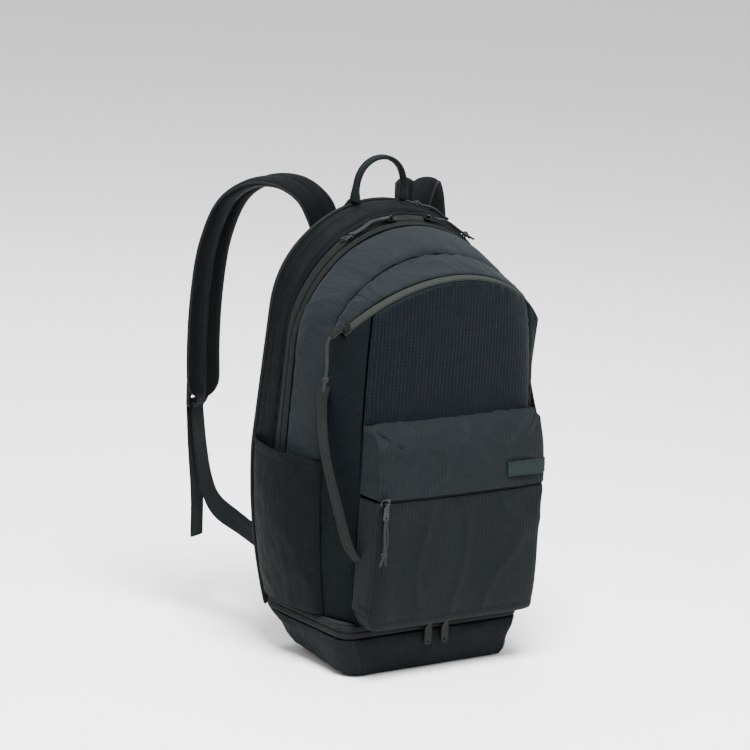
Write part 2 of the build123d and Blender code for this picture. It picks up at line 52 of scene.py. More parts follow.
# ---- driving dimensions, the CAD model's own ----
BACK_Y, RACKET_ZIP_Y, RACKET_Y, MAIN_Y, POCKET_SEAM_Y, FRONT_Y = 95.0, 77.0, 57.0, 42.0, -15.0, -58.0
PANEL_Y = -62.0
FLOOR_Z, WIDEST_Z = 61.0, 234.0
SHOE_TOP = 46.0
MAIN_ZIP_REAR_Y, MAIN_ZIP_FRONT_Y = 50.0, 34.0  # the far edges of the main zip's two tapes
MOUTH_FOOT_Z, SHOULDER_Z = 372, 373  # the lower ends of the racket mouth and of the crescent
BOTTOM_ZIP_Z = 52.5
INSIDE = np.array([0.0, 15.0, 240.0])
POCKET_INSIDE = np.array([0, -40.0, 170.0])
SIDES = ((-1, "left"), (1, "right"))


def link(made):
    bpy.context.scene.collection.objects.link(made)


# ---- camera, floor and light ----
def direction(azimuth, elevation):
    """From the aim point to a camera or lamp. Azimuth 0 stands in front of the bag."""
    a, e = radians(azimuth), radians(elevation)
    return Vector((sin(a) * cos(e), -cos(a) * cos(e), sin(e)))


def add_camera():
    towards = direction(-37.6, 12.7)
    aim = Vector((-0.0189, 0.0512, 0.3063))
    distance, roll = 3.96, radians(3.9)
    level = Vector((0, 0, 1)).cross(towards).normalized()
    upright = towards.cross(level)
    right = level * cos(roll) + upright * sin(roll)
    up = upright * cos(roll) - level * sin(roll)
    data = bpy.data.cameras.new("camera")
    data.sensor_width = 36
    data.lens = 172.8
    camera = bpy.data.objects.new("camera", data)
    place = Matrix((right, up, towards)).transposed().to_4x4()
    place.translation = aim + towards * distance
    camera.matrix_world = place
    link(camera)
    bpy.context.scene.camera = camera


def add_lamp(name, azimuth, elevation, distance, size, power):
    data = bpy.data.lights.new(name, "AREA")
    data.shape = "DISK"
    data.size = size
    data.energy = power
    lamp = bpy.data.objects.new(name, data)
    spot = direction(azimuth, elevation) * distance
    place = spot.to_track_quat("Z", "Y").to_matrix().to_4x4()
    place.translation = spot + Vector((0, 0, 0.25))
    lamp.matrix_world = place
    link(lamp)


def add_stage():
    mesh = bpy.data.meshes.new("floor")
    reach = 40.0
    corners = [(-reach, -reach, 0), (reach, -reach, 0), (reach, reach, 0), (-reach, reach, 0)]
    mesh.from_pydata(corners, [], [(0, 1, 2, 3)])
    floor = bpy.data.objects.new("floor", mesh)
    link(floor)
    floor.data.materials.append(Shading("floor_paint", (0.93, 0.93, 0.93), 0.8).material)
    world = bpy.data.worlds.new("studio")
    world.use_nodes = True
    world.node_tree.nodes["Background"].inputs["Color"].default_value = (1.0, 1.0, 1.0, 1.0)
    world.node_tree.nodes["Background"].inputs["Strength"].default_value = 0.95
    bpy.context.scene.world = world


# ---- procedural materials ----
class Shading:
    """A Principled material, with short calls for the nodes that colour and emboss it."""

    def __init__(self, name, colour, roughness, metallic=0.0, sheen=0.0, gloss=0.05):
        self.material = bpy.data.materials.new(name)
        self.material.use_nodes = True
        self.tree = self.material.node_tree
        self.shader = self.tree.nodes["Principled BSDF"]
        looks = {
            "Base Color": (*colour, 1),
            "Roughness": roughness,
            "Metallic": metallic,
            "Sheen Weight": sheen,
            "Sheen Roughness": 0.5,
            "Sheen Tint": (0.8, 0.95, 1.0, 1),
            "Specular IOR Level": gloss,
        }
        for key, value in looks.items():
            self.shader.inputs[key].default_value = value
        self.material.diffuse_color = (*colour, 1)

    def put(self, socket, value):
        if isinstance(value, bpy.types.NodeSocket):
            self.tree.links.new(value, socket)
        elif isinstance(value, tuple) and len(value) == 3 and socket.type == "RGBA":
            socket.default_value = (*value, 1)
        else:
            socket.default_value = value

    def node(self, kind, **settings):
        made = self.tree.nodes.new(kind)
        for key, value in settings.items():
            setattr(made, key, value)
        return made

    def cloth(self):
        """Position on the cloth in millimetres: along its rows, and across them."""
        made = self.node("ShaderNodeAttribute", attribute_type="GEOMETRY", attribute_name="cloth")
        return made.outputs["Vector"]

    def place(self, scale=1.0):
        """Position in the object's own space, in millimetres at a scale of one."""
        source = self.node("ShaderNodeTexCoord").outputs["Object"]
        return self.scaled(source, (1000 * scale,) * 3)

    def scaled(self, vector, factors):
        made = self.node("ShaderNodeVectorMath", operation="MULTIPLY")
        self.put(made.inputs[0], vector)
        made.inputs[1].default_value = factors
        return made.outputs[0]

    def parts(self, vector):
        made = self.node("ShaderNodeSeparateXYZ")
        self.put(made.inputs[0], vector)
        return made.outputs[0], made.outputs[1]

    def math(self, operation, a, b=0.0, c=0.0):
        made = self.node("ShaderNodeMath", operation=operation)
        for socket, value in zip(made.inputs, (a, b, c)):
            self.put(socket, value)
        return made.outputs[0]

    def times(self, a, b):
        return self.math("MULTIPLY", a, b)

    def plus(self, a, b):
        return self.math("ADD", a, b)

    def noise(self, vector, scale, detail=3.0, rough=0.55):
        made = self.node("ShaderNodeTexNoise")
        self.put(made.inputs["Vector"], vector)
        made.inputs["Scale"].default_value = scale
        made.inputs["Detail"].default_value = detail
        made.inputs["Roughness"].default_value = rough
        return made.outputs["Fac"]

    def mottle(self, cloth, along, across, detail=3.0, rough=0.55):
        """Noise on the cloth, finer the larger the two factors are."""
        return self.noise(self.scaled(cloth, (along, across, 1.0)), 1.0, detail, rough)

    def spread(self, value, low, high, to_low=0.0, to_high=1.0):
        made = self.node("ShaderNodeMapRange")
        for socket, number in zip(made.inputs, (value, low, high, to_low, to_high)):
            self.put(socket, number)
        return made.outputs[0]

    def wave(self, value, pitch):
        """A smooth ridge every pitch, from 0 to 1."""
        turned = self.math("SINE", self.times(value, 2 * pi / pitch))
        return self.math("MULTIPLY_ADD", turned, 0.5, 0.5)

    def lines(self, value, pitch, share):
        """Thin lines every pitch, each a share of it wide, from 0 to 1."""
        return self.spread(self.wave(value, pitch), 1.0 - share, 1.0)

    def mix(self, factor, a, b):
        made = self.node("ShaderNodeMix", data_type="RGBA")
        self.put(made.inputs[0], factor)
        self.put(made.inputs[6], a)
        self.put(made.inputs[7], b)
        return made.outputs[2]

    def finish(self, colour=None, height=None, depth=0.3, roughness=None):
        """Colour and roughness to the shader, and height in millimetres to its bump."""
        if colour is not None:
            self.put(self.shader.inputs["Base Color"], colour)
        if roughness is not None:
            self.put(self.shader.inputs["Roughness"], roughness)
        if height is not None:
            bump = self.node("ShaderNodeBump")
            bump.inputs["Strength"].default_value = 1.0
            bump.inputs["Distance"].default_value = depth * MM
            self.put(bump.inputs["Height"], height)
            self.put(self.shader.inputs["Normal"], bump.outputs[0])
        return self.material


def dimmer(colour, factor):
    return tuple(c * factor for c in colour)


def woven(name, colour, rib=2.4, depth=0.5, sheen=0.03, crinkle=1.0, roughness=0.72):
    """Crinkled nylon: fine ribs in both directions, a mottled dye and soft creases."""
    s = Shading(name, colour, roughness, sheen=sheen)
    cloth = s.cloth()
    u, v = s.parts(cloth)
    ribs = s.times(s.wave(u, rib), s.math("MULTIPLY_ADD", s.wave(v, rib * 1.3), 0.5, 0.5))
    yarn = s.times(s.wave(u, rib * 0.42), s.wave(v, rib * 0.42))
    creases = s.mottle(cloth, 0.13, 0.045, 5.0, 0.62)
    grain = s.mottle(cloth, 0.9, 0.5, 2.0)
    wear = s.noise(s.place(), 0.02, 3.0)
    shade = s.mix(s.spread(grain, 0.3, 0.7), dimmer(colour, 0.7), dimmer(colour, 1.35))
    shade = s.mix(s.spread(ribs, 0.3, 1.0, 0.0, 0.45), shade, dimmer(colour, 1.9))
    shade = s.mix(s.spread(wear, 0.45, 0.75, 0.0, 0.35), shade, dimmer(colour, 1.8))
    height = s.plus(s.times(ribs, 0.5), s.times(yarn, 0.25))
    height = s.math("MULTIPLY_ADD", creases, 2.4 * crinkle, height)
    rough = s.spread(creases, 0.3, 0.7, roughness + 0.08, roughness - 0.1)
    return s.finish(shade, height, depth, rough)


def ripstop(name, colour, blue, brown, pitch=4.6):
    """Fine cloth with a grid of thicker yarns, some bluish and some brownish."""
    s = Shading(name, colour, 0.66, sheen=0.02)
    cloth = s.cloth()
    u, v = s.parts(cloth)
    warp = s.lines(u, pitch, 0.32)
    weft = s.lines(v, pitch * 0.8, 0.22)
    yarn = s.times(s.wave(u, 1.15), s.wave(v, 1.15))
    slub = s.mottle(cloth, 0.35, 0.06, 3.0)
    dye = s.mottle(cloth, 0.05, 0.03, 2.0)
    thread = s.mix(s.spread(dye, 0.42, 0.6), blue, brown)
    strength = s.times(warp, s.spread(slub, 0.35, 0.65, 0.25, 1.0))
    shade = s.mix(s.spread(yarn, 0.1, 0.9, 0.0, 0.5), colour, dimmer(colour, 1.7))
    shade = s.mix(s.times(weft, 0.3), shade, blue)
    shade = s.mix(s.times(strength, 0.75), shade, thread)
    height = s.plus(s.times(warp, 0.6), s.times(weft, 0.4))
    height = s.math("MULTIPLY_ADD", yarn, 0.3, height)
    height = s.math("MULTIPLY_ADD", s.mottle(cloth, 0.05, 0.07, 4.0), 1.8, height)
    return s.finish(shade, height, 0.3)


def twill(name, colour, pitch=1.5, ridge=0.5, sheen=0.02, roughness=0.7):
    """Narrow woven tape and webbing: slanting ribs that turn over at the middle."""
    s = Shading(name, colour, roughness, sheen=sheen)
    cloth = s.cloth()
    u, v = s.parts(cloth)
    slant = s.plus(v, s.times(s.math("PINGPONG", u, 6.0), 0.9))
    ribs = s.wave(slant, pitch)
    fine = s.wave(u, pitch * 0.6)
    fuzz = s.mottle(cloth, 0.8, 0.8, 3.0)
    shade = s.mix(ribs, dimmer(colour, 0.65), dimmer(colour, 1.4))
    shade = s.mix(s.spread(fuzz, 0.35, 0.7, 0.0, 0.5), shade, dimmer(colour, 1.6))
    height = s.plus(s.times(ribs, 0.7), s.times(fine, 0.3))
    return s.finish(shade, height, ridge)


def air_mesh(name, colour):
    """Open spacer mesh: rows of small holes in a soft knit."""
    s = Shading(name, colour, 0.85, sheen=0.03)
    cells = s.node("ShaderNodeTexVoronoi", feature="F1")
    s.put(cells.inputs["Vector"], s.place())
    cells.inputs["Scale"].default_value = 0.42
    cells.inputs["Randomness"].default_value = 0.25
    hole = s.spread(cells.outputs["Distance"], 0.2, 0.5)
    fuzz = s.noise(s.place(), 0.9, 2.0)
    shade = s.mix(hole, dimmer(colour, 0.3), dimmer(colour, 1.3))
    shade = s.mix(s.spread(fuzz, 0.4, 0.7, 0.0, 0.4), shade, dimmer(colour, 1.9))
    return s.finish(shade, hole, 0.8)


def braid(name, colour):
    """Braided cord: crossing strands on its skin."""
    s = Shading(name, colour, 0.6, sheen=0.03)
    place = s.place()
    made = s.node("ShaderNodeSeparateXYZ")
    s.put(made.inputs[0], place)
    x, y, z = made.outputs
    one = s.wave(s.plus(s.plus(x, y), z), 1.3)
    two = s.wave(s.math("SUBTRACT", s.math("SUBTRACT", x, y), z), 1.3)
    strand = s.times(one, two)
    fleck = s.noise(place, 1.1, 2.0)
    shade = s.mix(strand, dimmer(colour, 0.5), dimmer(colour, 1.5))
    shade = s.mix(s.spread(fleck, 0.5, 0.75, 0.0, 0.6), shade, dimmer(colour, 2.4))
    return s.finish(shade, strand, 0.25)


def cast(name, colour, roughness, metallic, scratch):
    """Cast metal or moulded plastic with a fine skin and rubbed spots."""
    s = Shading(name, colour, roughness, metallic=metallic)
    skin = s.noise(s.place(), 0.9, 4.0)
    rub = s.noise(s.scaled(s.place(), (1.0, 0.25, 0.25)), 0.35, 4.0)
    shade = s.mix(s.spread(rub, 0.45, 0.75, 0.0, scratch), dimmer(colour, 0.85), dimmer(colour, 2.2))
    rough = s.spread(skin, 0.3, 0.7, roughness - 0.1, roughness + 0.12)
    return s.finish(shade, skin, 0.06, rough)


SHELL = (0.0020, 0.0026, 0.0030)
materials = {
    "shell": woven("shell_nylon", SHELL, sheen=0.0),
    # The shell nylon made 2.7 times as light: painted light, used on the front gusset and the crescent to
    # keep their lit tops bright.
    "shell_painted_light": woven("shell_nylon_painted_light", dimmer(SHELL, 2.7), rib=2.2, crinkle=1.8, sheen=0.03, depth=0.6),
    "front": ripstop(
        "front_ripstop", (0.0009, 0.0018, 0.0028), (0.0042, 0.0090, 0.0130), (0.0100, 0.0092, 0.0092)
    ),
    "pocket": ripstop(
        "pocket_ripstop", (0.0042, 0.0056, 0.0062), (0.0078, 0.0112, 0.0135), (0.0112, 0.0118, 0.0112)
    ),
    # The pocket ripstop at about 0.6 times the brightness, threads too: painted shade for the lower pocket
    # panel and its underside.
    "pocket_painted_shade": ripstop(
        "pocket_ripstop_painted_shade", (0.0024, 0.0033, 0.0038), (0.0046, 0.0070, 0.0086), (0.0070, 0.0074, 0.0072)
    ),
    "tab": cast("tab_paint", (0.0125, 0.0145, 0.0135), 0.45, 0.0, 0.2),
    "board": cast("lining_board", (0.02, 0.021, 0.022), 0.6, 0.0, 0.1),
    "tape": twill("zip_tape_cloth", (0.0125, 0.0145, 0.0130), 1.1, 0.2),
    "tape_dark": twill("zip_tape_dark_cloth", (0.0048, 0.0058, 0.0056), 1.1, 0.2),
    "coil": cast("zip_coil_nylon", (0.006, 0.007, 0.007), 0.4, 0.0, 0.2),
    "thread": cast("sewing_thread", (0.012, 0.014, 0.014), 0.75, 0.0, 0.2),
    "webbing": twill("webbing_cloth", (0.0035, 0.0045, 0.0045), 2.2, 0.6),
    "webbing_worn": twill("webbing_worn_cloth", (0.0060, 0.0070, 0.0063), 2.2, 0.6),
    "side": woven("side_nylon", (0.0016, 0.0028, 0.0037), rib=2.6, crinkle=1.0, sheen=0.0),
    "binding": twill("binding_tape", (0.006, 0.0072, 0.0068), 1.2, 0.25),
    "mesh": air_mesh("padding_air_mesh", (0.0035, 0.0042, 0.0046)),
    "strap": woven("strap_cloth", (0.0014, 0.0019, 0.0022), rib=1.6, depth=0.3, crinkle=0.8, sheen=0.0),
    # The shell nylon made twice as light: painted light on the shoe compartment.
    "shoe": woven("shoe_nylon_painted_light", dimmer(SHELL, 2.0), rib=2.2, sheen=0.0),
    "cord": braid("pull_cord_braid", (0.017, 0.019, 0.0185)),
    "metal": cast("dark_metal_finish", (0.026, 0.028, 0.0275), 0.32, 1.0, 0.6),
    "plastic": cast("buckle_plastic_finish", (0.008, 0.009, 0.009), 0.42, 0.0, 0.3),
    "label": woven(
        "label_rubber", (0.0078, 0.0120, 0.0122), rib=0.9, depth=0.08, crinkle=0.2, sheen=0.0, roughness=0.5
    ),
}


# ---- meshes from grids of points ----
def unit(v):
    return v / np.maximum(np.linalg.norm(v, axis=-1, keepdims=True), 1e-9)


def outward_normals(p, inside=INSIDE):
    """Unit normals of a grid of points, pointing away from a point or line inside."""
    normals = unit(np.cross(np.gradient(p, axis=1), np.gradient(p, axis=0)))
    turned = np.sum(normals * (p - inside)) > 0
    return normals if turned else -normals


def travel(p, axis):
    """Length travelled along an axis of a grid."""
    steps = np.linalg.norm(np.diff(p, axis=axis), axis=-1)
    first = np.zeros_like(np.take(steps, [0], axis=axis))
    return np.concatenate([first, np.cumsum(steps, axis=axis)], axis=axis)


def cloth_of(p):
    """Place on the cloth of each point: along the middle row, and down each column."""
    along = np.broadcast_to(travel(p[[len(p) // 2]], 1), p.shape[:2])
    return np.stack([along, travel(p, 0), np.zeros(p.shape[:2])], axis=-1)


def new_object(name, points, faces, cloth=None):
    mesh = bpy.data.meshes.new(name)
    mesh.from_pydata((np.asarray(points).reshape(-1, 3) * MM).tolist(), [], faces)
    if cloth is not None:
        attribute = mesh.attributes.new("cloth", "FLOAT_VECTOR", "POINT")
        attribute.data.foreach_set("vector", np.asarray(cloth, dtype=np.float32).ravel())
    mesh.shade_smooth()
    made = bpy.data.objects.new(name, mesh)
    link(made)
    return made


def grid(name, p, around=False, capped=False, inside=INSIDE):
    """A sheet through a grid of points, or a tube if its rows close on themselves."""
    rows, cols = p.shape[:2]
    centre = p.mean(axis=1, keepdims=True) if around else inside
    across = np.roll(p, -1, axis=1) - np.roll(p, 1, axis=1) if around else np.gradient(p, axis=1)
    facing = np.sum(np.cross(across, np.gradient(p, axis=0)) * (p - centre)) > 0
    faces = []
    for r in range(rows - 1):
        for c in range(cols if around else cols - 1):
            d = (c + 1) % cols
            face = (r * cols + c, r * cols + d, (r + 1) * cols + d, (r + 1) * cols + c)
            faces.append(face if facing else face[::-1])
    if capped:
        start = tuple(range(cols))
        end = tuple(range((rows - 1) * cols, rows * cols))
        faces.append(start[::-1] if facing else start)
        faces.append(end if facing else end[::-1])
    return new_object(name, p, faces, cloth_of(p))


def dress(made, body, material, nodes=(), thick=0.0, levels=1):
    """Gives a piece its material, thickness, smoothing and body, and hides the CAD nodes it stands for."""
    made.data.materials.append(materials[material])
    if thick:
        solid = made.modifiers.new("thickness", "SOLIDIFY")
        solid.thickness = thick * MM
        solid.offset = -1
        solid.use_even_offset = False
    if levels:
        smooth = made.modifiers.new("smooth", "SUBSURF")
        smooth.levels = smooth.render_levels = levels
    if body:
        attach(made, body)
    if nodes:
        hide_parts(*nodes)
    return made


def ripple(u, v, seed, scale_u, scale_v, count=26):
    """Smooth seeded noise over places on a cloth, with features of the scales given."""
    rng = np.random.default_rng(seed)
    total = np.zeros(np.broadcast(u, v).shape)
    for _ in range(count):
        turn, pace, phase = rng.uniform(0, 2 * pi), rng.uniform(0.35, 1.3), rng.uniform(0, 2 * pi)
        total += np.sin(2 * pi * pace * (u * cos(turn) / scale_u + v * sin(turn) / scale_v) + phase)
    return total / sqrt(count)


def folds(u, v, seed, scale_u, scale_v):
    """Sharp little ridges with broad valleys between them, from 0 to about 1."""
    return np.clip(1 - np.abs(ripple(u, v, seed, scale_u, scale_v)) * 1.3, 0, 1) ** 2


def seam_shape(away, pillow, pinch=1.9, reach=9.0):
    """Height of cloth at a distance from its seam: pinched at the seam, full away from it."""
    return pillow * (1 - np.exp(-away / reach)) - pinch * np.exp(-((away / 2.6) ** 2))


def puckers(along, away, seed, size=0.7, pitch=8.0):
    """Small gathers that run out from a sewn seam."""
    beat = ripple(along, along * 0, seed, pitch, 1.0)
    return size * beat * np.exp(-away / 7.0)


def smooth_line(points, count):
    """A smooth line through points, at evenly spaced places."""
    p = np.asarray(points, float)
    p = np.vstack([2 * p[0] - p[1], p, 2 * p[-1] - p[-2]])
    made = []
    for i in range(1, len(p) - 2):
        t = np.linspace(0, 1, 24, endpoint=False)[:, None]
        a, b, c, d = p[i - 1], p[i], p[i + 1], p[i + 2]
        made.append(
            0.5 * (2 * b + (c - a) * t + (2 * a - 5 * b + 4 * c - d) * t**2 + (3 * b - a - 3 * c + d) * t**3)
        )
    line = np.vstack(made + [p[-2][None]])
    return resample(line, count)


def resample(line, count):
    run = np.concatenate([[0], np.cumsum(np.linalg.norm(np.diff(line, axis=0), axis=1))])
    spots = np.linspace(0, run[-1], count)
    return np.stack([np.interp(spots, run, line[:, k]) for k in range(line.shape[1])], axis=1)


def tube(name, line, radius, sides=10, closed=False):
    """A round tube along a line, its section carried along without twist."""
    line = np.asarray(line, float)
    ahead = np.roll(line, -1, 0) - np.roll(line, 1, 0) if closed else np.gradient(line, axis=0)
    ahead = unit(ahead)
    side = unit(np.cross(ahead[0], [0.31, 0.47, 0.83]))
    rings = []
    turns = np.linspace(0, 2 * pi, sides, endpoint=False)[:, None]
    radii = np.broadcast_to(radius, len(line))
    for spot, forward, r in zip(line, ahead, radii):
        side = unit(side - forward * np.dot(side, forward))
        other = np.cross(forward, side)
        rings.append(spot + r * (np.cos(turns) * side + np.sin(turns) * other))
    if closed:
        rings.append(rings[0])
    return grid(name, np.array(rings), around=True, capped=not closed)


def beads(name, line, normal, pitch, size):
    """A row of small rounded bars along a line: stitches, or the teeth of a zip."""
    run = np.linalg.norm(np.diff(line, axis=0), axis=1).sum()
    count = max(2, int(run / pitch))
    both = resample(np.hstack([line, normal]), count)
    spots, up = both[:, :3], unit(both[:, 3:])
    ahead = unit(np.gradient(spots, axis=0))
    across = unit(np.cross(ahead, up))
    long, wide, high = (s / 2 for s in size)
    shape = [(-1, 0, 0), (-0.6, -1, 0), (-0.6, 0, 1), (-0.6, 1, 0), (-0.6, 0, -1)]
    shape += [(0.6, -1, 0), (0.6, 0, 1), (0.6, 1, 0), (0.6, 0, -1), (1, 0, 0)]
    points = [
        spots + ahead * a * long + across * b * wide + up * c * high for a, b, c in shape
    ]
    points = np.stack(points, axis=1)
    bar = [(0, 1, 2), (0, 2, 3), (0, 3, 4), (0, 4, 1), (9, 6, 5), (9, 7, 6), (9, 8, 7), (9, 5, 8)]
    bar += [(1, 5, 6, 2), (2, 6, 7, 3), (3, 7, 8, 4), (4, 8, 5, 1)]
    faces = [tuple(i * 10 + k for k in face) for i in range(count) for face in bar]
    made = new_object(name, points.reshape(-1, 3), faces)
    shaped = bmesh.new()
    shaped.from_mesh(made.data)
    bmesh.ops.recalc_face_normals(shaped, faces=shaped.faces)
    shaped.to_mesh(made.data)
    shaped.free()
    return made


STITCH = (2.4, 0.6, 0.55)


def stitch_row(name, line, normal, body="bag", lift=0.15):
    made = beads(name, line + normal * lift, normal, 3.4, STITCH)
    return dress(made, body, "thread", levels=0)


def coil(name, line, facing, wide=2.4, high=1.5):
    """The teeth of a zip."""
    teeth = beads(name, line, facing, 1.3, (1.0, wide, high))
    dress(teeth, "bag", "coil", levels=0)


# ---- the arched body ----
class Arch:
    """An upright arch at y: a bellied foot, a leaning side, a corner arc and a crown arc."""

    SIZES = ("top", "crown", "corner", "half", "lean", "belly")

    def __init__(self, y, *sizes):
        self.y = y
        for key, size in zip(self.SIZES, sizes):
            setattr(self, key, size)

    def side_x(self, z):
        return self.half - self.belly + np.sqrt(self.belly**2 - (z - WIDEST_Z) ** 2)

    def between(self, other, y):
        t = (y - self.y) / (other.y - self.y)
        return Arch(y, *(getattr(self, k) * (1 - t) + getattr(other, k) * t for k in self.SIZES))

    def curve(self, floor=FLOOR_Z):
        """Points and outward directions from the left foot, over the top, to the right foot."""
        lean = radians(self.lean)
        crown_z = self.top - self.crown
        start_x = self.half - self.corner * cos(lean)
        start_z = WIDEST_Z - self.corner * sin(lean)
        b = -start_x * sin(lean) + (start_z - crown_z) * cos(lean)
        c = start_x**2 + (start_z - crown_z) ** 2 - (self.crown - self.corner) ** 2
        along = -b + sqrt(b * b - c)
        corner_x, corner_z = start_x - along * sin(lean), start_z + along * cos(lean)
        turn = atan2(corner_z - crown_z, corner_x)
        foot = asin((floor - WIDEST_Z) / self.belly)
        angles = [
            np.linspace(foot, 0, 30, endpoint=False),
            np.full(24, lean),
            np.linspace(lean, turn, 20, endpoint=False),
            np.linspace(turn, pi / 2, 17),
        ]
        centres = [
            np.tile([self.half - self.belly, WIDEST_Z], (30, 1)),
            np.linspace([start_x, start_z], [corner_x, corner_z], 24, endpoint=False),
            np.tile([corner_x, corner_z], (20, 1)),
            np.tile([0, crown_z], (17, 1)),
        ]
        radii = [self.belly, self.corner, self.corner, self.crown]
        spots, facing = [], []
        for angle, centre, radius in zip(angles, centres, radii):
            out = np.stack([np.cos(angle), np.sin(angle)], axis=1)
            spots.append(centre + out * radius)
            facing.append(out)
        spots, facing = np.vstack(spots), np.vstack(facing)
        flip = np.array([-1, 1])
        return np.vstack([spots * flip, spots[-2::-1]]), np.vstack([facing * flip, facing[-2::-1]])


back = Arch(BACK_Y, 494, 146, 105, 147, 5, 600)
racket_seam = Arch(RACKET_Y, 489, 150, 110, 150, 4, 640)
main_seam = Arch(MAIN_Y, 480, 146, 100, 150, 2.6, 700)
pocket_seam = Arch(POCKET_SEAM_Y, 455, 160, 75, 136, 1, 900)
front = Arch(FRONT_Y, 433, 225, 38, 114, 0, 1400)
STATIONS = (back, racket_seam, main_seam, pocket_seam, front)


def station(y):
    """The body's outline at any y."""
    for near, far in zip(STATIONS, STATIONS[1:]):
        if y >= far.y:
            break
    return near.between(far, y)


def arch_line(y, out=0.0, floor=FLOOR_Z):
    """The outline at y as points and outward directions in space."""
    spots, facing = station(y).curve(floor)
    points = np.insert(spots + facing * out, 1, y, axis=1)
    return points, np.insert(facing, 1, 0.0, axis=1)


def body_wall(ys, floor=FLOOR_Z):
    """The body's skin through the outlines at these stations."""
    return np.stack([arch_line(y, floor=floor)[0] for y in ys])


def quilted(p, shape, inside=INSIDE):
    """A grid pushed outwards by a height, which is a function of its cloth places."""
    cloth = cloth_of(p)
    return p + outward_normals(p, inside) * shape(cloth[..., 0], cloth[..., 1])[..., None]


def main_gusset(part, y_rear, y_front, rows, pillow, seed, material, crease):
    """One cloth panel round the body, pinched at both seams and creased between them."""
    p = body_wall(np.linspace(y_rear, y_front, rows))

    def shape(u, v):
        rear, near = v, v.max(axis=0) - v
        away = np.minimum(rear, near)
        height = seam_shape(away, pillow)
        height += puckers(u, rear, seed) + puckers(u, near, seed + 1, 1.3)
        slack = np.clip(away / 8, 0, 1)
        height += crease * slack * folds(u, v, seed + 2, 34, 120)
        return height + 0.7 * slack * ripple(u, v, seed + 3, 70, 90)

    made = grid(f"main_gusset_{part}_cloth", quilted(p, shape))
    dress(made, "bag", material, [f"main_gusset_{part}"], thick=1.6)


def add_racket_compartment():
    """The padded back's gusset, with its zip open to a mouth at the right shoulder."""
    middle, _ = arch_line(RACKET_ZIP_Y)
    x, z = middle[:, 0], middle[:, 2]
    share = np.clip((x - 92.0) / (141.0 - 92.0), 0, 1)
    gape = np.where((z > MOUTH_FOOT_Z) & (x > 0), 11.5 * (1 - (2 * share - 1) ** 2), 0.0)
    columns = np.arange(len(middle))
    for part, y_far, sign, seed in (("rear", 93.5, 1, 11), ("front", RACKET_Y, -1, 21)):
        rows = []
        for t in np.linspace(0, 1, 9):
            y = RACKET_ZIP_Y + (y_far - RACKET_ZIP_Y) * t
            row, _ = arch_line(y)
            row[:, 1] += sign * gape * (1 - t)
            rows.append(row)
        p = np.stack(rows)

        def shape(u, v, seed=seed):
            seam, zip_side = v.max(axis=0) - v, v
            height = seam_shape(seam, 2.6) + puckers(u, seam, seed)
            height += 0.7 * np.clip(seam / 8, 0, 1) * folds(u, v, seed + 1, 38, 90)
            return height * (1 - 0.35 * np.exp(-zip_side / 5))

        p = quilted(p, shape)
        made = grid(f"racket_gusset_{part}", p)
        dress(made, "bag", "shell", ["racket_gusset"], thick=1.6)
        zipped = columns[(x > 18) & (z > 330)]
        edge = p[0][zipped]
        facing = outward_normals(p)[0][zipped]
        inner = p[3][zipped]
        lip = edge + facing * 0.7 - (inner - edge) * 0.12
        strip = np.stack([lip, edge + facing * 1.0, inner + facing * 0.9])
        tape = grid(f"racket_zip_tape_{part}", strip)
        dress(tape, "bag", "tape_dark", ["racket_zip"], thick=0.7)
        coil(f"racket_zip_coil_{part}", strip[0], facing, 2.6, 1.6)
        sewn = (edge * 0.35 + inner * 0.65) + facing
        stitch_row(f"racket_zip_stitches_{part}", sewn, facing)
    seam, facing = arch_line(RACKET_Y, 0.4)
    stitch_row("racket_seam_stitches", seam + [0, 3.2, 0] + facing * 1.0, facing)


def add_seam_allowances():
    """Cloth turned in behind each seam, so that no light passes between two panels."""
    turned_in = ((-4.5, 3.6), (0.0, 3.0), (4.5, 3.6))
    seams = {
        "racket": RACKET_Y,
        "main_rear": MAIN_ZIP_REAR_Y,
        "main_front": MAIN_ZIP_FRONT_Y,
        "pocket": POCKET_SEAM_Y,
    }
    for word, y in seams.items():
        rows = [arch_line(y + across, -deep)[0] for across, deep in turned_in]
        dress(grid(f"seam_allowance_{word}", np.stack(rows)), "bag", "shell", thick=0.8)
    middle, _ = arch_line(RACKET_ZIP_Y)
    mouth = np.flatnonzero((middle[:, 0] > 90) & (middle[:, 2] > MOUTH_FOOT_Z))
    for word, part in (("left", slice(0, mouth[0] + 1)), ("right", slice(mouth[-1], None))):
        rows = [arch_line(RACKET_ZIP_Y + across, -deep)[0][part] for across, deep in turned_in]
        dress(grid(f"racket_zip_backing_{word}", np.stack(rows)), "bag", "shell", thick=0.8)


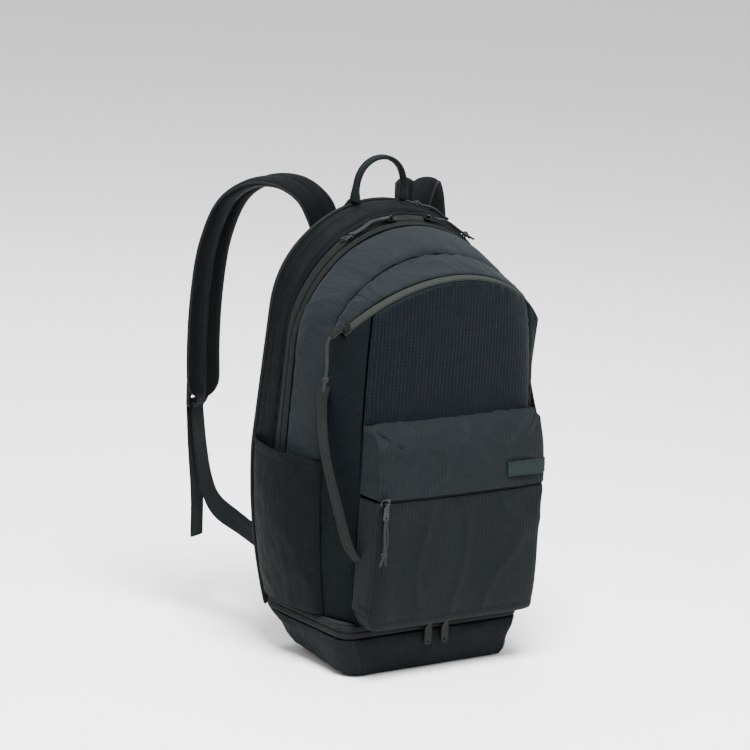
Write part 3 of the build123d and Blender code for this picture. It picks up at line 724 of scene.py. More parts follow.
def add_back():
    """The back panel with its binding, padding, yoke and webbing anchors."""
    line, _ = arch_line(BACK_Y, floor=SHOE_TOP)
    half = len(line) // 2
    left = line[: half + 1]
    across = np.linspace(-1, 1, 61)
    p = np.stack([np.stack([left[:, 0] * -c, left[:, 1], left[:, 2]], axis=1) for c in across], axis=1)
    rim = 1 - np.abs(across) ** 12
    p[..., 1] += -1.6 + 1.4 * rim[None, :] + 0.5 * ripple(p[..., 0], p[..., 2], 31, 60, 80) * rim
    made = grid("back_panel_cloth", p)
    dress(made, "bag", "mesh", ["back_panel"], thick=3.6)
    edge, facing = arch_line(94.0, 0.3, SHOE_TOP)
    binding = tube("back_binding", resample(edge, 260), 2.3, 10)
    dress(binding, "bag", "binding", levels=0)
    stitch_row("back_binding_stitches", edge + [0, -3.4, 0] + facing * 2.2, facing)
    for side, word in SIDES:
        back_pad(f"back_pad_{word}", side * 57.0)
    yoke = slab("strap_yoke_cloth", 0.0, 442.0, 176.0, 40.0, 1.8, BACK_Y)
    dress(yoke, "bag", "binding", ["strap_yoke"])
    for side, word in SIDES:
        corners = [(84, 84), (84, 96), (119, 126), (119, 98)]
        outline = np.array([(side * x, z) for x, z in corners], float)
        anchor = flap(f"webbing_anchor_{word}", outline, BACK_Y, 3.0)
        dress(anchor, "bag", "webbing", ["webbing_anchors"], levels=0)


def rounded_box(half_x, half_z, corner, count=10):
    """A rounded rectangle as a loop of points about its middle."""
    loop = []
    for k, (sx, sz) in enumerate(((1, 1), (-1, 1), (-1, -1), (1, -1))):
        turn = np.linspace(k * pi / 2, (k + 1) * pi / 2, count)
        centre = np.array([sx * (half_x - corner), sz * (half_z - corner)])
        loop.append(centre + corner * np.stack([np.cos(turn), np.sin(turn)], 1))
    return np.vstack(loop)


def slab(name, x, z, width, height, thick, y):
    """A thin sewn patch that stands on the plane at y."""
    loop = rounded_box(width / 2, height / 2, 6.0)
    rings = []
    for scale, rise in ((1.0, 0.0), (1.0, 0.6), (0.985, 1.0), (0.9, 1.0), (0.45, 1.0), (0.02, 1.0)):
        rings.append(np.insert([x, z] + loop * scale, 1, y + rise * thick, axis=1))
    return grid(name, np.array(rings), around=True, capped=True)


def flap(name, outline, y, thick):
    """A flat patch of any outline on the plane at y, with a softened edge."""
    middle = outline.mean(axis=0)
    rings = []
    for scale, rise in ((1.0, 0.0), (1.0, 0.7), (0.93, 1.0), (0.05, 1.0)):
        spots = middle + (outline - middle) * scale
        rings.append(np.insert(spots, 1, y + rise * thick, axis=1))
    return grid(name, np.array(rings), around=True, capped=True)


def back_pad(name, x):
    """One long back pad of crowned mesh foam with sewn cross channels."""
    half_x, half_z, middle_z = 45.0, 150.0, 255.0
    loop = rounded_box(half_x, half_z, 24.0, 16)
    rings = []
    for scale in np.concatenate([[1.0, 1.0], np.linspace(0.97, 0.03, 26)]):
        rings.append(np.insert([x, middle_z] + loop * scale, 1, 0.0, axis=1))
    p = np.array(rings)
    inset = np.minimum(half_x - np.abs(p[..., 0] - x), half_z - np.abs(p[..., 2] - middle_z))
    crown = 8.6 * (1 - np.exp(-np.maximum(inset, 0) / 7.0))
    for level in (330.0, middle_z, 180.0):
        crown -= 4.0 * np.exp(-(((p[..., 2] - level) / 4.5) ** 2)) * np.clip(inset / 8, 0, 1)
    p[..., 1] = BACK_Y - 0.6 + crown
    p[0, :, 1] = BACK_Y - 1.0
    made = grid(name, p, around=True, capped=True)
    dress(made, "bag", "mesh", ["back_pads"])


def add_main_zip():
    """The long zip between the gussets: two tapes that meet over a sunken coil."""
    ys = [MAIN_ZIP_REAR_Y, 48, 45.5, 43.4, 42.5, MAIN_Y, 41.5, 40.6, 38.5, 36, MAIN_ZIP_FRONT_Y]
    p = body_wall(ys)
    away = np.abs(np.array(ys) - MAIN_Y)[:, None]
    lift = 0.7 - 2.1 * np.exp(-((away / 0.9) ** 2)) - 0.9 * np.exp(-(((8 - away) / 1.2) ** 2))
    p = p + outward_normals(p) * lift[..., None]
    middle = ys.index(MAIN_Y)
    for part, rows, material in (("rear", p[: middle + 1], "binding"), ("front", p[middle:], "tape_dark")):
        tape = grid(f"main_zip_tape_{part}", rows)
        dress(tape, "bag", material, ["main_zip"], thick=1.2)
    line, facing = arch_line(MAIN_Y, -0.2)
    coil("main_zip_coil", line, facing)
    for y, word in ((46.4, "rear"), (37.2, "front")):
        line, facing = arch_line(y, 0.75)
        stitch_row(f"main_zip_stitches_{word}", line, facing)


# ---- the front compartment under its arched zip ----
ARC_R = 170.0
ARC_LEAN = radians(24)
ARC_UP = np.array([0, -sin(ARC_LEAN), cos(ARC_LEAN)])
ARC_AXIS = np.array([0, cos(ARC_LEAN), sin(ARC_LEAN)])
ARC_CENTRE = np.array([0, -60.0, 436.0]) - ARC_UP * ARC_R
ARC_END = 50.5
SEAM_TURN = 38.0  # where the front panel's side seams meet the zip
ZIP_HALF = 5.3


def arc_out(turns):
    turns = np.radians(np.atleast_1d(turns))[:, None]
    return np.sin(turns) * np.array([1.0, 0, 0]) + np.cos(turns) * ARC_UP


def arc_line(turns, across=0.0, height=0.0):
    """Points on the front zip at angles from its apex, shifted across it and above it."""
    return ARC_CENTRE + arc_out(turns) * (ARC_R + height) + ARC_AXIS * across


def bezier(a, b, c, t):
    return a * (1 - t) ** 2 + b * 2 * t * (1 - t) + c * t**2


def add_front_zip():
    turns = np.linspace(-ARC_END, ARC_END, 131)
    acrosses = (-ZIP_HALF, -4.6, -2.4, -0.5, 0.0, 0.5, 2.4, 4.6, ZIP_HALF)
    heights = (-0.6, 0.9, 1.7, 1.9, 1.3, 1.9, 1.7, 0.9, -0.6)
    p = np.stack([arc_line(turns, a, h) for a, h in zip(acrosses, heights)])
    tape = grid("front_zip_tape", p)
    dress(tape, "bag", "tape", ["front_zip"], thick=1.0)
    out = arc_out(turns)
    for across, word in ((-3.9, "lower"), (3.9, "upper")):
        stitch_row(f"front_zip_stitches_{word}", arc_line(turns, across, 1.2), out)


def add_crescent():
    """The cloth between the body seam and the front zip."""
    turns = np.linspace(-ARC_END, ARC_END, 141)
    seam, _ = arch_line(POCKET_SEAM_Y)
    rear = resample(seam[seam[:, 2] > SHOULDER_Z], len(turns))
    near = arc_line(turns, ZIP_HALF, 0.0)
    p = np.stack([rear * (1 - t) + near * t for t in np.linspace(0, 1, 15)])

    def shape(u, v):
        rear, near = v, v.max(axis=0) - v
        away = np.minimum(rear, near)
        full = np.clip(v.max(axis=0) / 30, 0.25, 1)
        height = seam_shape(rear, 2.8 * full, 2.8) - 1.9 * np.exp(-((near / 2.0) ** 2))
        height += puckers(u, rear, 41, 1.5, 9.0) + 1.3 * np.clip(away / 7, 0, 1) * folds(u, v, 42, 40, 60)
        return height + 0.8 * np.clip(away / 10, 0, 1) * ripple(u, v, 43, 60, 40)

    p = quilted(p, shape)
    # The crescent takes the lightened shell nylon: painted light.
    dress(grid("front_crescent", p), "bag", "shell_painted_light", ["front_gusset"], thick=1.6)
    facing = outward_normals(p)
    stitch_row("crescent_stitches", p[2] * 0.4 + p[3] * 0.6, facing[2])
    for column, word in ((22, "left"), (-23, "right")):
        dress(tube(f"crescent_seam_{word}", p[1:-1, column], 0.6, 6), "bag", "coil", levels=0)


def front_column(x, y, low, top, bulge, share, count):
    """A column of cloth: up to the widest level at y, then bulging on its way to its top."""
    lower = np.stack([x, np.full(len(low), y), low], 1)
    a = lower[-1]
    b = np.array([a[0] + bulge[0], a[1] + bulge[1], WIDEST_Z + share * (top[2] - WIDEST_Z)])
    return np.vstack([lower, bezier(a, b, top, np.linspace(0, 1, count)[1:, None])])


def side_face(side):
    """The cloth beside the front panel, below the zip."""
    count = 17
    shares = np.linspace(0, 1, count)
    seam, _ = arch_line(POCKET_SEAM_Y)
    top_rear = seam[seam[:, 2] > SHOULDER_Z][0]
    ends = arc_line(np.linspace(-ARC_END, -SEAM_TURN, count), -ZIP_HALF)
    columns = []
    for s in shares:
        if s < 0.35:
            top = top_rear + (ends[0] - top_rear) * s / 0.35
        else:
            top = arc_line(-ARC_END + (ARC_END - SEAM_TURN) * (s - 0.35) / 0.65, -ZIP_HALF)[0]
        y = POCKET_SEAM_Y + (FRONT_Y - POCKET_SEAM_Y) * s
        low = np.linspace(FLOOR_Z, WIDEST_Z, 34)
        x = pocket_seam.side_x(low) * (1 - s) + front.side_x(low) * s
        columns.append(front_column(-x, y, low, top, (-5.0, 0.0), 0.62, 30))
    p = np.stack(columns, axis=0)

    def shape(u, v):
        rear, near = v, v.max(axis=0) - v
        height = seam_shape(np.minimum(rear, near), 1.4, 1.6)
        height += puckers(u, rear, 51 + side, 0.5) + puckers(u, near, 53 + side, 0.5)
        return height + 0.6 * folds(u, v, 55 + side, 60, 50) + 0.8 * ripple(u, v, 57 + side, 110, 60)

    p = quilted(p, shape)
    p[..., 0] *= -side
    return p


def add_front():
    for side, word in SIDES:
        made = grid(f"front_side_{word}", side_face(side))
        dress(made, "bag", "side", ["front_gusset"], thick=1.6)
    shares = np.linspace(-1, 1, 77)
    columns = []
    for c in shares:
        top = arc_line(SEAM_TURN * c, -ZIP_HALF)[0]
        low = np.linspace(FLOOR_Z, WIDEST_Z, 30)
        edge = 1 - abs(c) ** 6
        y = FRONT_Y - 4.0 * edge
        columns.append(front_column(front.side_x(low) * c, y, low, top, (0.0, -5.0 * edge), 0.7, 52))
    p = np.stack(columns, axis=1)

    def shape(u, v):
        side = np.minimum(u, u.max() - u)
        top = v.max(axis=0) - v
        away = np.minimum(side, top)
        height = seam_shape(side, 3.4, 1.5, 14) - 2.0 * np.exp(-((top / 2.2) ** 2))
        height += puckers(v, side, 61, 0.7, 10) + puckers(u, top, 62, 0.8, 9)
        loose = np.clip(away / 12, 0, 1)
        return height + loose * (0.7 * ripple(u, v, 63, 90, 120) + 0.7 * folds(u, v, 64, 120, 60))

    p = quilted(p, shape)
    dress(grid("front_panel_cloth", p), "bag", "front", ["front_panel"], thick=2.0)
    facing = outward_normals(p)
    for column, word in ((1, "left"), (-2, "right")):
        stitch_row(f"front_seam_stitches_{word}", p[:, column], facing[:, column])


# ---- the front pocket ----
POCKET_HALF = 115.0
ZIP_Z = 207.5
POCKET_PROFILE = [(-62, 287), (-74, 281), (-86, 269), (-92.5, 254), (-95.5, 232), (-96.6, 208)]
POCKET_PROFILE += [(-96.4, 170), (-95.6, 120), (-92.5, 82), (-88.5, 61)]
pocket_side = smooth_line([(0, y, z) for y, z in POCKET_PROFILE], 240)


def pocket_spot(x, z):
    """A point on the pocket's face: its side profile, rounded off towards both sides."""
    y = np.interp(z, pocket_side[::-1, 2], pocket_side[::-1, 1])
    share = np.clip(np.abs(x) / POCKET_HALF, 0, 1)
    depth = (1 - share**12) ** (1 / 12)
    return np.stack([x, PANEL_Y + 3.0 + (y - PANEL_Y - 3.0) * depth, z], axis=-1)


def crease_along(x, z, start, end, deep, wide):
    """A sewn dart: a groove along a straight line, with the cloth full on both sides of it."""
    run = np.array(end, float) - np.array(start, float)
    t = np.clip(((x - start[0]) * run[0] + (z - start[1]) * run[1]) / run.dot(run), 0, 1)
    away = np.hypot(x - start[0] - run[0] * t, z - start[1] - run[1] * t)
    return deep * (0.5 * np.exp(-((away / (3 * wide)) ** 2)) - 1.5 * np.exp(-((away / wide) ** 2)))


def pocket_panel(name, levels, shape, material, nodes):
    shares = np.sin(np.linspace(-1, 1, 89) * pi / 2)
    shares = 0.55 * shares + 0.45 * np.linspace(-1, 1, 89)
    x = np.broadcast_to(POCKET_HALF * shares, levels.shape)
    p = pocket_spot(x, levels)
    cloth = cloth_of(p)
    u, v = cloth[..., 0], cloth[..., 1]
    edge = np.minimum(u, u.max() - u)
    lift = shape(x, levels, u, v, edge)
    p = p + outward_normals(p, POCKET_INSIDE) * lift[..., None]
    made = grid(name, p, inside=POCKET_INSIDE)
    dress(made, "bag", material, nodes, thick=1.8)
    return p


def nearest(p, x, z):
    """The point of a grid that is nearest to a spot seen from the front."""
    away = np.hypot(p[..., 0] - x, p[..., 2] - z)
    return p[np.unravel_index(away.argmin(), away.shape)]


def add_pocket():
    shares = np.linspace(-1, 1, 89)
    sag = 1.6 * np.cos(shares * pi / 2)

    def upper_shape(x, z, u, v, edge):
        bottom = v.max(axis=0) - v
        height = 1.0 * np.exp(-bottom / 3.0) + puckers(u, v, 71, 1.2, 9)
        height += crease_along(x, z, (-112, 282), (-84, 261), 2.6, 2.4)
        height += crease_along(x, z, (112, 282), (90, 265), 2.2, 2.4)
        loose = np.clip(np.minimum(v, edge) / 10, 0, 1) * np.clip(bottom / 12, 0.15, 1)
        return height + loose * (1.9 * folds(u, v, 72, 75, 40) + 1.2 * ripple(u, v, 73, 80, 50))

    def lower_shape(x, z, u, v, edge):
        bottom = v.max(axis=0) - v
        height = -0.8 * np.exp(-v / 3.0) + puckers(u, v, 81, 0.4, 12)
        height += 1.0 * np.exp(-(((bottom - 5) / 4) ** 2)) - 0.8 * np.exp(-(((bottom - 11) / 1.5) ** 2))
        loose = np.clip(edge / 16, 0, 1) * np.clip(bottom / 14, 0.2, 1) * np.clip(v / 10, 0.1, 1)
        return height + loose * (1.4 * folds(u, v, 82, 90, 120) + 1.4 * ripple(u, v, 83, 100, 120))

    rows = np.linspace(0, 1, 40)[:, None]
    top = 286.5 - 2.0 * shares**4
    upper = top * (1 - rows) + (ZIP_Z + 1.2 - sag) * rows
    high = pocket_panel("pocket_upper_cloth", upper, upper_shape, "pocket", ["pocket_upper"])
    for side, end, word in ((-1, (-84, 261), "left"), (1, (90, 265), "right")):
        spots = zip(np.linspace(side * 111, end[0], 9), np.linspace(281, end[1], 9))
        seam = [nearest(high, x, z) for x, z in spots]
        welt = tube(f"pocket_dart_{word}", smooth_line(seam, 24), 1.0, 6)
        dress(welt, "bag", "coil", levels=0)
    rows = np.linspace(0, 1, 60)[:, None]
    foot = 61.0 + 17.0 * np.clip((-shares - 0.84) / 0.16, 0, 1) + 2.0 * shares**8
    lower = (ZIP_Z - 1.6 - sag) * (1 - rows) + foot * rows
    # The lower panel and the underside below take the darker pocket ripstop: painted shade.
    low = pocket_panel("pocket_lower_cloth", lower, lower_shape, "pocket_painted_shade", ["pocket_lower"])
    hem = low[-1]
    under = np.stack([hem, hem + [0, 6, -0.8], hem * [1, 0, 1] + [0, PANEL_Y + 1, 1.5]])
    under[..., 1] = np.minimum(under[..., 1], PANEL_Y + 1)
    dress(grid("pocket_underside", under), "bag", "pocket_painted_shade", ["pocket_lower"], thick=1.4)
    facing = outward_normals(low, POCKET_INSIDE)
    stitch_row("pocket_hem_stitches", low[-5], facing[-5])
    zip_rows = (ZIP_Z - sag) + np.linspace(5, -5, 7)[:, None]
    sunk = pocket_spot(np.broadcast_to((POCKET_HALF - 2) * shares, zip_rows.shape), zip_rows)
    sunk[..., 1] += 2.0
    tape = grid("pocket_zip_tape", sunk, inside=POCKET_INSIDE)
    dress(tape, "bag", "tape_dark", ["pocket_zip"], thick=0.8)
    run = sunk[3] - [0, 1.2, 0]
    coil("pocket_zip_coil", run, np.broadcast_to([0.0, -1.0, 0.0], run.shape), high=1.4)


def add_label():
    """A plain sewn patch at the right of the pocket."""
    x = np.linspace(57, 112, 34)
    z = np.linspace(236, 219.5, 12)[:, None]
    p = pocket_spot(np.broadcast_to(x, (12, 34)), np.broadcast_to(z, (12, 34)))
    p[..., 1] -= 2.6
    patch = grid("label_patch_plain", p, inside=POCKET_INSIDE)
    dress(patch, "bag", "label", ["label_patch"], thick=1.6)
    for row, word in ((1, "top"), (-2, "bottom")):
        ahead = np.broadcast_to([0.0, -1.0, 0.0], p[row].shape)
        stitch_row(f"label_stitches_{word}", p[row], ahead)


# ---- side pockets and straps ----
def side_pocket(side, word):
    """An open-topped pocket wall that stands off the body, with a turned hem."""
    ys = np.linspace(90, -18, 45)
    zs = np.concatenate([np.linspace(62, 226, 42), [229, 232, 235, 238, 239.5]])
    body = np.array([[station(y).side_x(min(z, WIDEST_Z)) for y in ys] for z in zs])
    rear = np.array([back.side_x(min(z, WIDEST_Z)) for z in zs]) + 3.6
    room = np.interp(zs, [61, 110, 170, 239], [3, 6, 9, 11]) + 2.0
    middle = np.array([main_seam.side_x(min(z, WIDEST_Z)) for z in zs]) + room
    near = np.array([pocket_seam.side_x(min(z, WIDEST_Z)) for z in zs]) + 3.6
    marks = np.array([90.0, 38.0, -18.0])
    bow = np.stack([np.polyval(np.polyfit(marks, trio, 2), ys) for trio in zip(rear, middle, near)])
    away = np.minimum(90 - ys, ys + 18)
    hug = 1 - np.exp(-away / 4.0)
    x = body + 0.4 + (bow - body) * hug
    p = np.stack([side * x, np.broadcast_to(ys, x.shape), np.broadcast_to(zs[:, None], x.shape)], axis=-1)
    slope = (ys - 36) / 108
    p[..., 2] += np.clip((zs[:, None] - 150) / 90, 0, 1) * slope * 7.0

    def shape(u, v):
        top = v.max(axis=0) - v
        sides = np.minimum(u, u.max() - u)
        height = puckers(u, top, 91 + side, 0.7, 14) + puckers(v, sides, 93 + side, 0.6)
        height -= 0.8 * np.exp(-(((top - 11) / 1.3) ** 2))
        loose = np.clip(sides / 12, 0, 1)
        slack = 0.8 * folds(u, v, 95 + side, 70, 110) + 0.8 * ripple(u, v, 97 + side, 90, 110)
        return height + loose * slack

    p = quilted(p, shape)
    wall = grid(f"side_pocket_{word}_cloth", p)
    dress(wall, "bag", "shell", [f"side_pocket_{word}"], thick=1.8)
    facing = outward_normals(p)
    stitch_row(f"side_pocket_{word}_stitches", p[-5], facing[-5])


def strap_frame(points, widths, count):
    """A smooth line, with its directions across the strap and, square to that, ahead."""
    both = smooth_line(np.hstack([points, widths]), count)
    line, across = both[:, :3], unit(both[:, 3:])
    ahead = unit(np.gradient(line, axis=0))
    return line, across, unit(ahead - across * np.sum(ahead * across, axis=1, keepdims=True))


def ribbon(points, widths, width, thick, count):
    """A flat webbing strap along a smooth line, with slightly thinner edges."""
    line, across, ahead = strap_frame(points, widths, count)
    out = np.cross(ahead, across)
    half = width / 2
    section = [(-1, 0.0), (-0.96, 0.42), (-0.7, 0.5), (0, 0.5), (0.7, 0.5), (0.96, 0.42)]
    section += [(-a, -h) for a, h in section]
    edges = [line + across * a * half + out * (h * thick) for a, h in section]
    return np.stack(edges, axis=1)


def add_side_straps():
    for side, word in SIDES:
        tucked = station(-17.0).side_x(334) - 3.0
        low_end = station(-60.0).side_x(128) - 3.0
        points = [(side * tucked, -13, 334), (side * 138.5, -16, 312), (side * 142.5, -22, 286)]
        points += [(side * 144.5, -35, 248), (side * 136, -50, 196), (side * 124, -60, 150)]
        points.append((side * low_end, -64, 128))
        widths = [(side * turn, -1, 0) for turn in (-0.1, -0.1, -0.05, -0.05, -0.1, -0.2, -0.3)]
        web = ribbon(points, widths, 17, 1.8, 60)
        strap = grid(f"side_strap_{word}_webbing", web, around=True, capped=True)
        dress(strap, "bag", "webbing_worn", [f"side_strap_{word}"])


# ---- shoe compartment ----
def base_ring(z, half, near_y, far_y, corner, count=22):
    loop = rounded_box(half, (far_y - near_y) / 2, corner, count)
    return np.stack([loop[:, 0], (near_y + far_y) / 2 + loop[:, 1], np.full(len(loop), float(z))], 1)


def dense(loop, extra=14):
    """A rounded rectangle's loop with its four straight runs divided, so that cloth can crease there."""
    corner = len(loop) // 4
    closed = np.vstack([loop, loop[:1]])
    made = []
    for i, (a, b) in enumerate(zip(closed, closed[1:])):
        cuts = extra if (i + 1) % corner == 0 else 1
        made.extend(a + (b - a) * t for t in np.linspace(0, 1, cuts, endpoint=False))
    return np.array(made)


def add_shoe_compartment():
    # height, half width, near and far edge, corner radius
    marks = [(0, 104, -53, 64, 18), (4, 111, -58, 74, 20), (18, 116, -60.5, 84, 24)]
    marks = np.array(marks + [(32, 121, -61, 91, 19), (46, 122.5, -60, 92, 16)], float)
    centre = np.array([0, 15.0, 30.0])
    levels = np.concatenate([[0.0, 0.6, 2.0, 4.0], np.linspace(7, 45.8, 16)])
    rings = [dense(base_ring(0.3, *(marks[0, 1:] * k))) for k in (0.05, 0.5, 0.9)]
    for z in levels:
        rings.append(dense(base_ring(z, *(np.interp(z, marks[:, 0], marks[:, k]) for k in range(1, 5)))))
    p = np.stack(rings)
    outer = np.clip((np.abs(p[..., 0]) - 88) / 26, 0, 1)
    rear = np.clip((p[..., 1] + 45) / 135, 0, 1)
    rise = 26.0 * outer * rear + 12.0 * np.clip((p[..., 1] - 52) / 26, 0, 1)
    p[..., 2] += rise * np.clip(1 - p[..., 2] / 46, 0, 1)
    height = np.clip(p[..., 2] / 10, 0, 1) * np.clip((46 - p[..., 2]) / 8, 0, 1)
    u = travel(p[[12]], 1) * np.ones(p.shape[:2])
    v = p[..., 2]
    lift = height * (1.2 + 0.9 * folds(u, v, 101, 60, 40) + 0.9 * ripple(u, v, 102, 80, 60))
    p = p + outward_normals(p, centre) * lift[..., None]
    for side, word in SIDES:
        away = np.hypot(p[12, :, 0] - side * 100, p[12, :, 1] + 60)
        welt = tube(f"shoe_corner_welt_{word}", p[5:-1, away.argmin()], 0.8, 6)
        dress(welt, "bag", "binding", levels=0)
    shell = grid("shoe_shell_cloth", p, around=True, capped=True)
    # The shoe shell takes the lightened shell nylon: painted light.
    dress(shell, "bag", "shoe", ["bottom_shell"])
    tape_rings = []
    tape_levels = (45, 46.4, 49, 51.6, BOTTOM_ZIP_Z, 53.4, 56, 58.6, 60.2)
    for z, out in zip(tape_levels, (-1.2, 0.4, 0.7, 0.6, -0.9, 0.6, 0.7, 0.4, -1.5)):
        tape_rings.append(dense(base_ring(z, 122.5 + out, -60 - out, 92 + out, 16 + out)))
    tape = grid("bottom_zip_tape", np.stack(tape_rings), around=True)
    dress(tape, "bag", "binding", ["bottom_zip"], thick=1.0)
    loop = dense(base_ring(BOTTOM_ZIP_Z, 122.8, -60.3, 92.3, 16.3))
    loop = np.vstack([loop, loop[:1]])
    facing = unit((loop - [0, 15, BOTTOM_ZIP_Z]) * [1, 1, 0])
    coil("bottom_zip_coil", loop, facing)
    for z, word in ((48.6, "low"), (56.6, "high")):
        sewn = loop + [0, 0, z - BOTTOM_ZIP_Z] + facing * 0.5
        stitch_row(f"bottom_zip_stitches_{word}", sewn, facing)
    add_body_hem()


def add_body_hem():
    """The body's underside, from its walls in to the bottom zip."""
    ys = np.linspace(92, FRONT_Y, 40)
    right = np.array([(station(y).side_x(FLOOR_Z), y) for y in ys])
    front_run = np.stack([np.linspace(right[-1, 0], -right[-1, 0], 24)[1:-1], np.full(22, PANEL_Y)], 1)
    left = right[::-1] * [-1, 1]
    back_run = np.stack([np.linspace(left[-1, 0], right[0, 0], 24)[1:-1], np.full(22, 92.0)], 1)
    loop = np.vstack([right, front_run, left, back_run])
    rings = []
    for scale, z in ((1.0, 63.0), (1.0, 61.0), (0.985, 60.0), (0.93, 60.2), (0.88, 60.6)):
        spots = np.array([0, 15.0]) + (loop - [0, 15.0]) * scale
        rings.append(np.insert(spots, 2, z, axis=1))
    hem = grid("body_hem", np.stack(rings), around=True)
    dress(hem, "bag", "shell", thick=1.0)


# ---- haul loop ----
def add_haul_loop():
    turns = np.radians(np.linspace(184, -4, 90))
    lift = np.where(np.sin(turns) > 0, np.abs(np.sin(turns)) ** 0.72, -0.1)
    line = np.stack([33 * np.cos(turns), np.full(90, 90.0), 498 + 44 * lift], 1)
    foot = np.exp(-((line[:, 2] - 496) / 8.0) ** 2)
    out = unit(line - [0, 90, 492])
    half_wide = 5.8 + 2.6 * foot
    half_thick = 2.8 + 1.4 * foot
    section = [(-1, 0), (-0.9, 0.62), (-0.5, 0.95), (-0.12, 0.95)]
    section += [(0, 0.62), (0.12, 0.95), (0.5, 0.95), (0.9, 0.62)]
    section += [(-a, -h) for a, h in section]
    wide = np.array([0, 1.0, 0])
    edges = [line + wide * (a * half_wide)[:, None] + out * (h * half_thick)[:, None] for a, h in section]
    p = np.stack(edges, axis=1)
    loop = grid("haul_loop_webbing", p, around=True, capped=True)
    dress(loop, "haul_loop", "webbing", ["haul_loop"])
    top = line + out * 2.3
    stitch_row("haul_loop_stitches", top[8:-8] + [0, 2.6, 0], out[8:-8], body="haul_loop")
    for side, word in SIDES:
        outline = np.array([(side * 27, 499), (side * 39, 499), (side * 52, 480), (side * 22, 484)], float)
        gusset_foot = flap(f"haul_loop_foot_{word}", outline, 92.5, 3.0)
        dress(gusset_foot, "bag", "webbing")


# ---- zip pulls ----
CORD_R = 1.3
PULLER_EYE, PULLER_REACH = 16.5, 20.0  # from the slider's bar, along the puller


def on_circle(centre_z, y, radius, degrees_from_top):
    turn = radians(degrees_from_top)
    return np.array([radius * sin(turn), y, centre_z + radius * cos(turn)])


def tangent(degrees_from_top):
    turn = radians(degrees_from_top)
    return np.array([cos(turn), 0.0, -sin(turn)])


def strand(name, points, body):
    """One strand of a pull cord: a smooth curve whose control points are its route."""
    data = bpy.data.curves.new(name, "CURVE")
    data.dimensions = "3D"
    data.bevel_depth = CORD_R * MM
    data.bevel_resolution = 3
    data.resolution_u = 10
    data.use_fill_caps = True
    spline = data.splines.new("NURBS")
    spline.points.add(len(points) - 1)
    for spot, point in zip(spline.points, points):
        spot.co = (*(np.asarray(point) * MM), 1)
    spline.order_u = 3
    spline.use_endpoint_u = True
    made = bpy.data.objects.new(name, data)
    link(made)
    made.data.materials.append(materials["cord"])
    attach(made, body)
    return made


def curve_length(made):
    """The length of a curve's own line, in metres."""
    bare = made.copy()
    bare.data = made.data.copy()
    bare.data.bevel_depth = 0
    link(bare)
    bpy.context.view_layer.update()
    mesh = bpy.data.meshes.new_from_object(bare.evaluated_get(bpy.context.evaluated_depsgraph_get()))
    ends = [[mesh.vertices[k].co for k in edge.vertices] for edge in mesh.edges]
    total = sum((a - b).length for a, b in ends)
    bpy.data.meshes.remove(mesh)
    bpy.data.objects.remove(bare)
    return total


def pull_knot(name, spot, along, across, body):
    """An overhand knot in both strands, with two cut tails."""
    t = np.linspace(0, 2 * pi, 96, endpoint=False)
    ring = 1.55 + 0.75 * np.cos(3 * t)
    out = np.cross(along, across)
    line = (
        spot
        + along * (3.4 + 1.9 * np.sin(3 * t))[:, None]
        + across * (ring * np.cos(2 * t))[:, None]
        + out * (ring * np.sin(2 * t))[:, None]
    )
    knot = tube(name, line, CORD_R, 10, closed=True)
    dress(knot, body, "cord", [name], levels=0)
    for sign, word in ((-1, "a"), (1, "b")):
        start = spot + along * 5.0 + across * sign * 1.0
        bend = start + along * 5.0 + across * sign * 1.6
        end = start + along * 10.0 + across * sign * 2.9
        tail = tube(f"{name}_tail_{word}", smooth_line([start, bend, end], 14), CORD_R * 0.95, 9)
        dress(tail, body, "cord", levels=0)
    return knot


def add_pull(name, bar, pull, across, route):
    """Two strands from the puller's eye to a knot, along the CAD cord's route."""
    body = f"{name}_puller"
    eye = bar + pull * PULLER_EYE
    route = [np.array(p, float) for p in route]
    along = unit(route[-1] - route[-2])
    line = [eye, bar + pull * PULLER_REACH] + route
    line.append(route[-1] + along * 4.5)
    knot = pull_knot(f"{name}_pull_knot", route[-1], along, across, body)
    spread = np.array([0.35, 0.8] + [1.3] * (len(route) - 1) + [0.8, 0.5])
    spread[len(spread) // 2] += 0.7
    for sign, word in ((-1, "a"), (1, "b")):
        points = [p + across * sign * s for p, s in zip(line, spread)]
        made = strand(f"{name}_cord_{word}", points, body)
        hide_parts(f"{name}_pull_cord")
        curve_length(made)


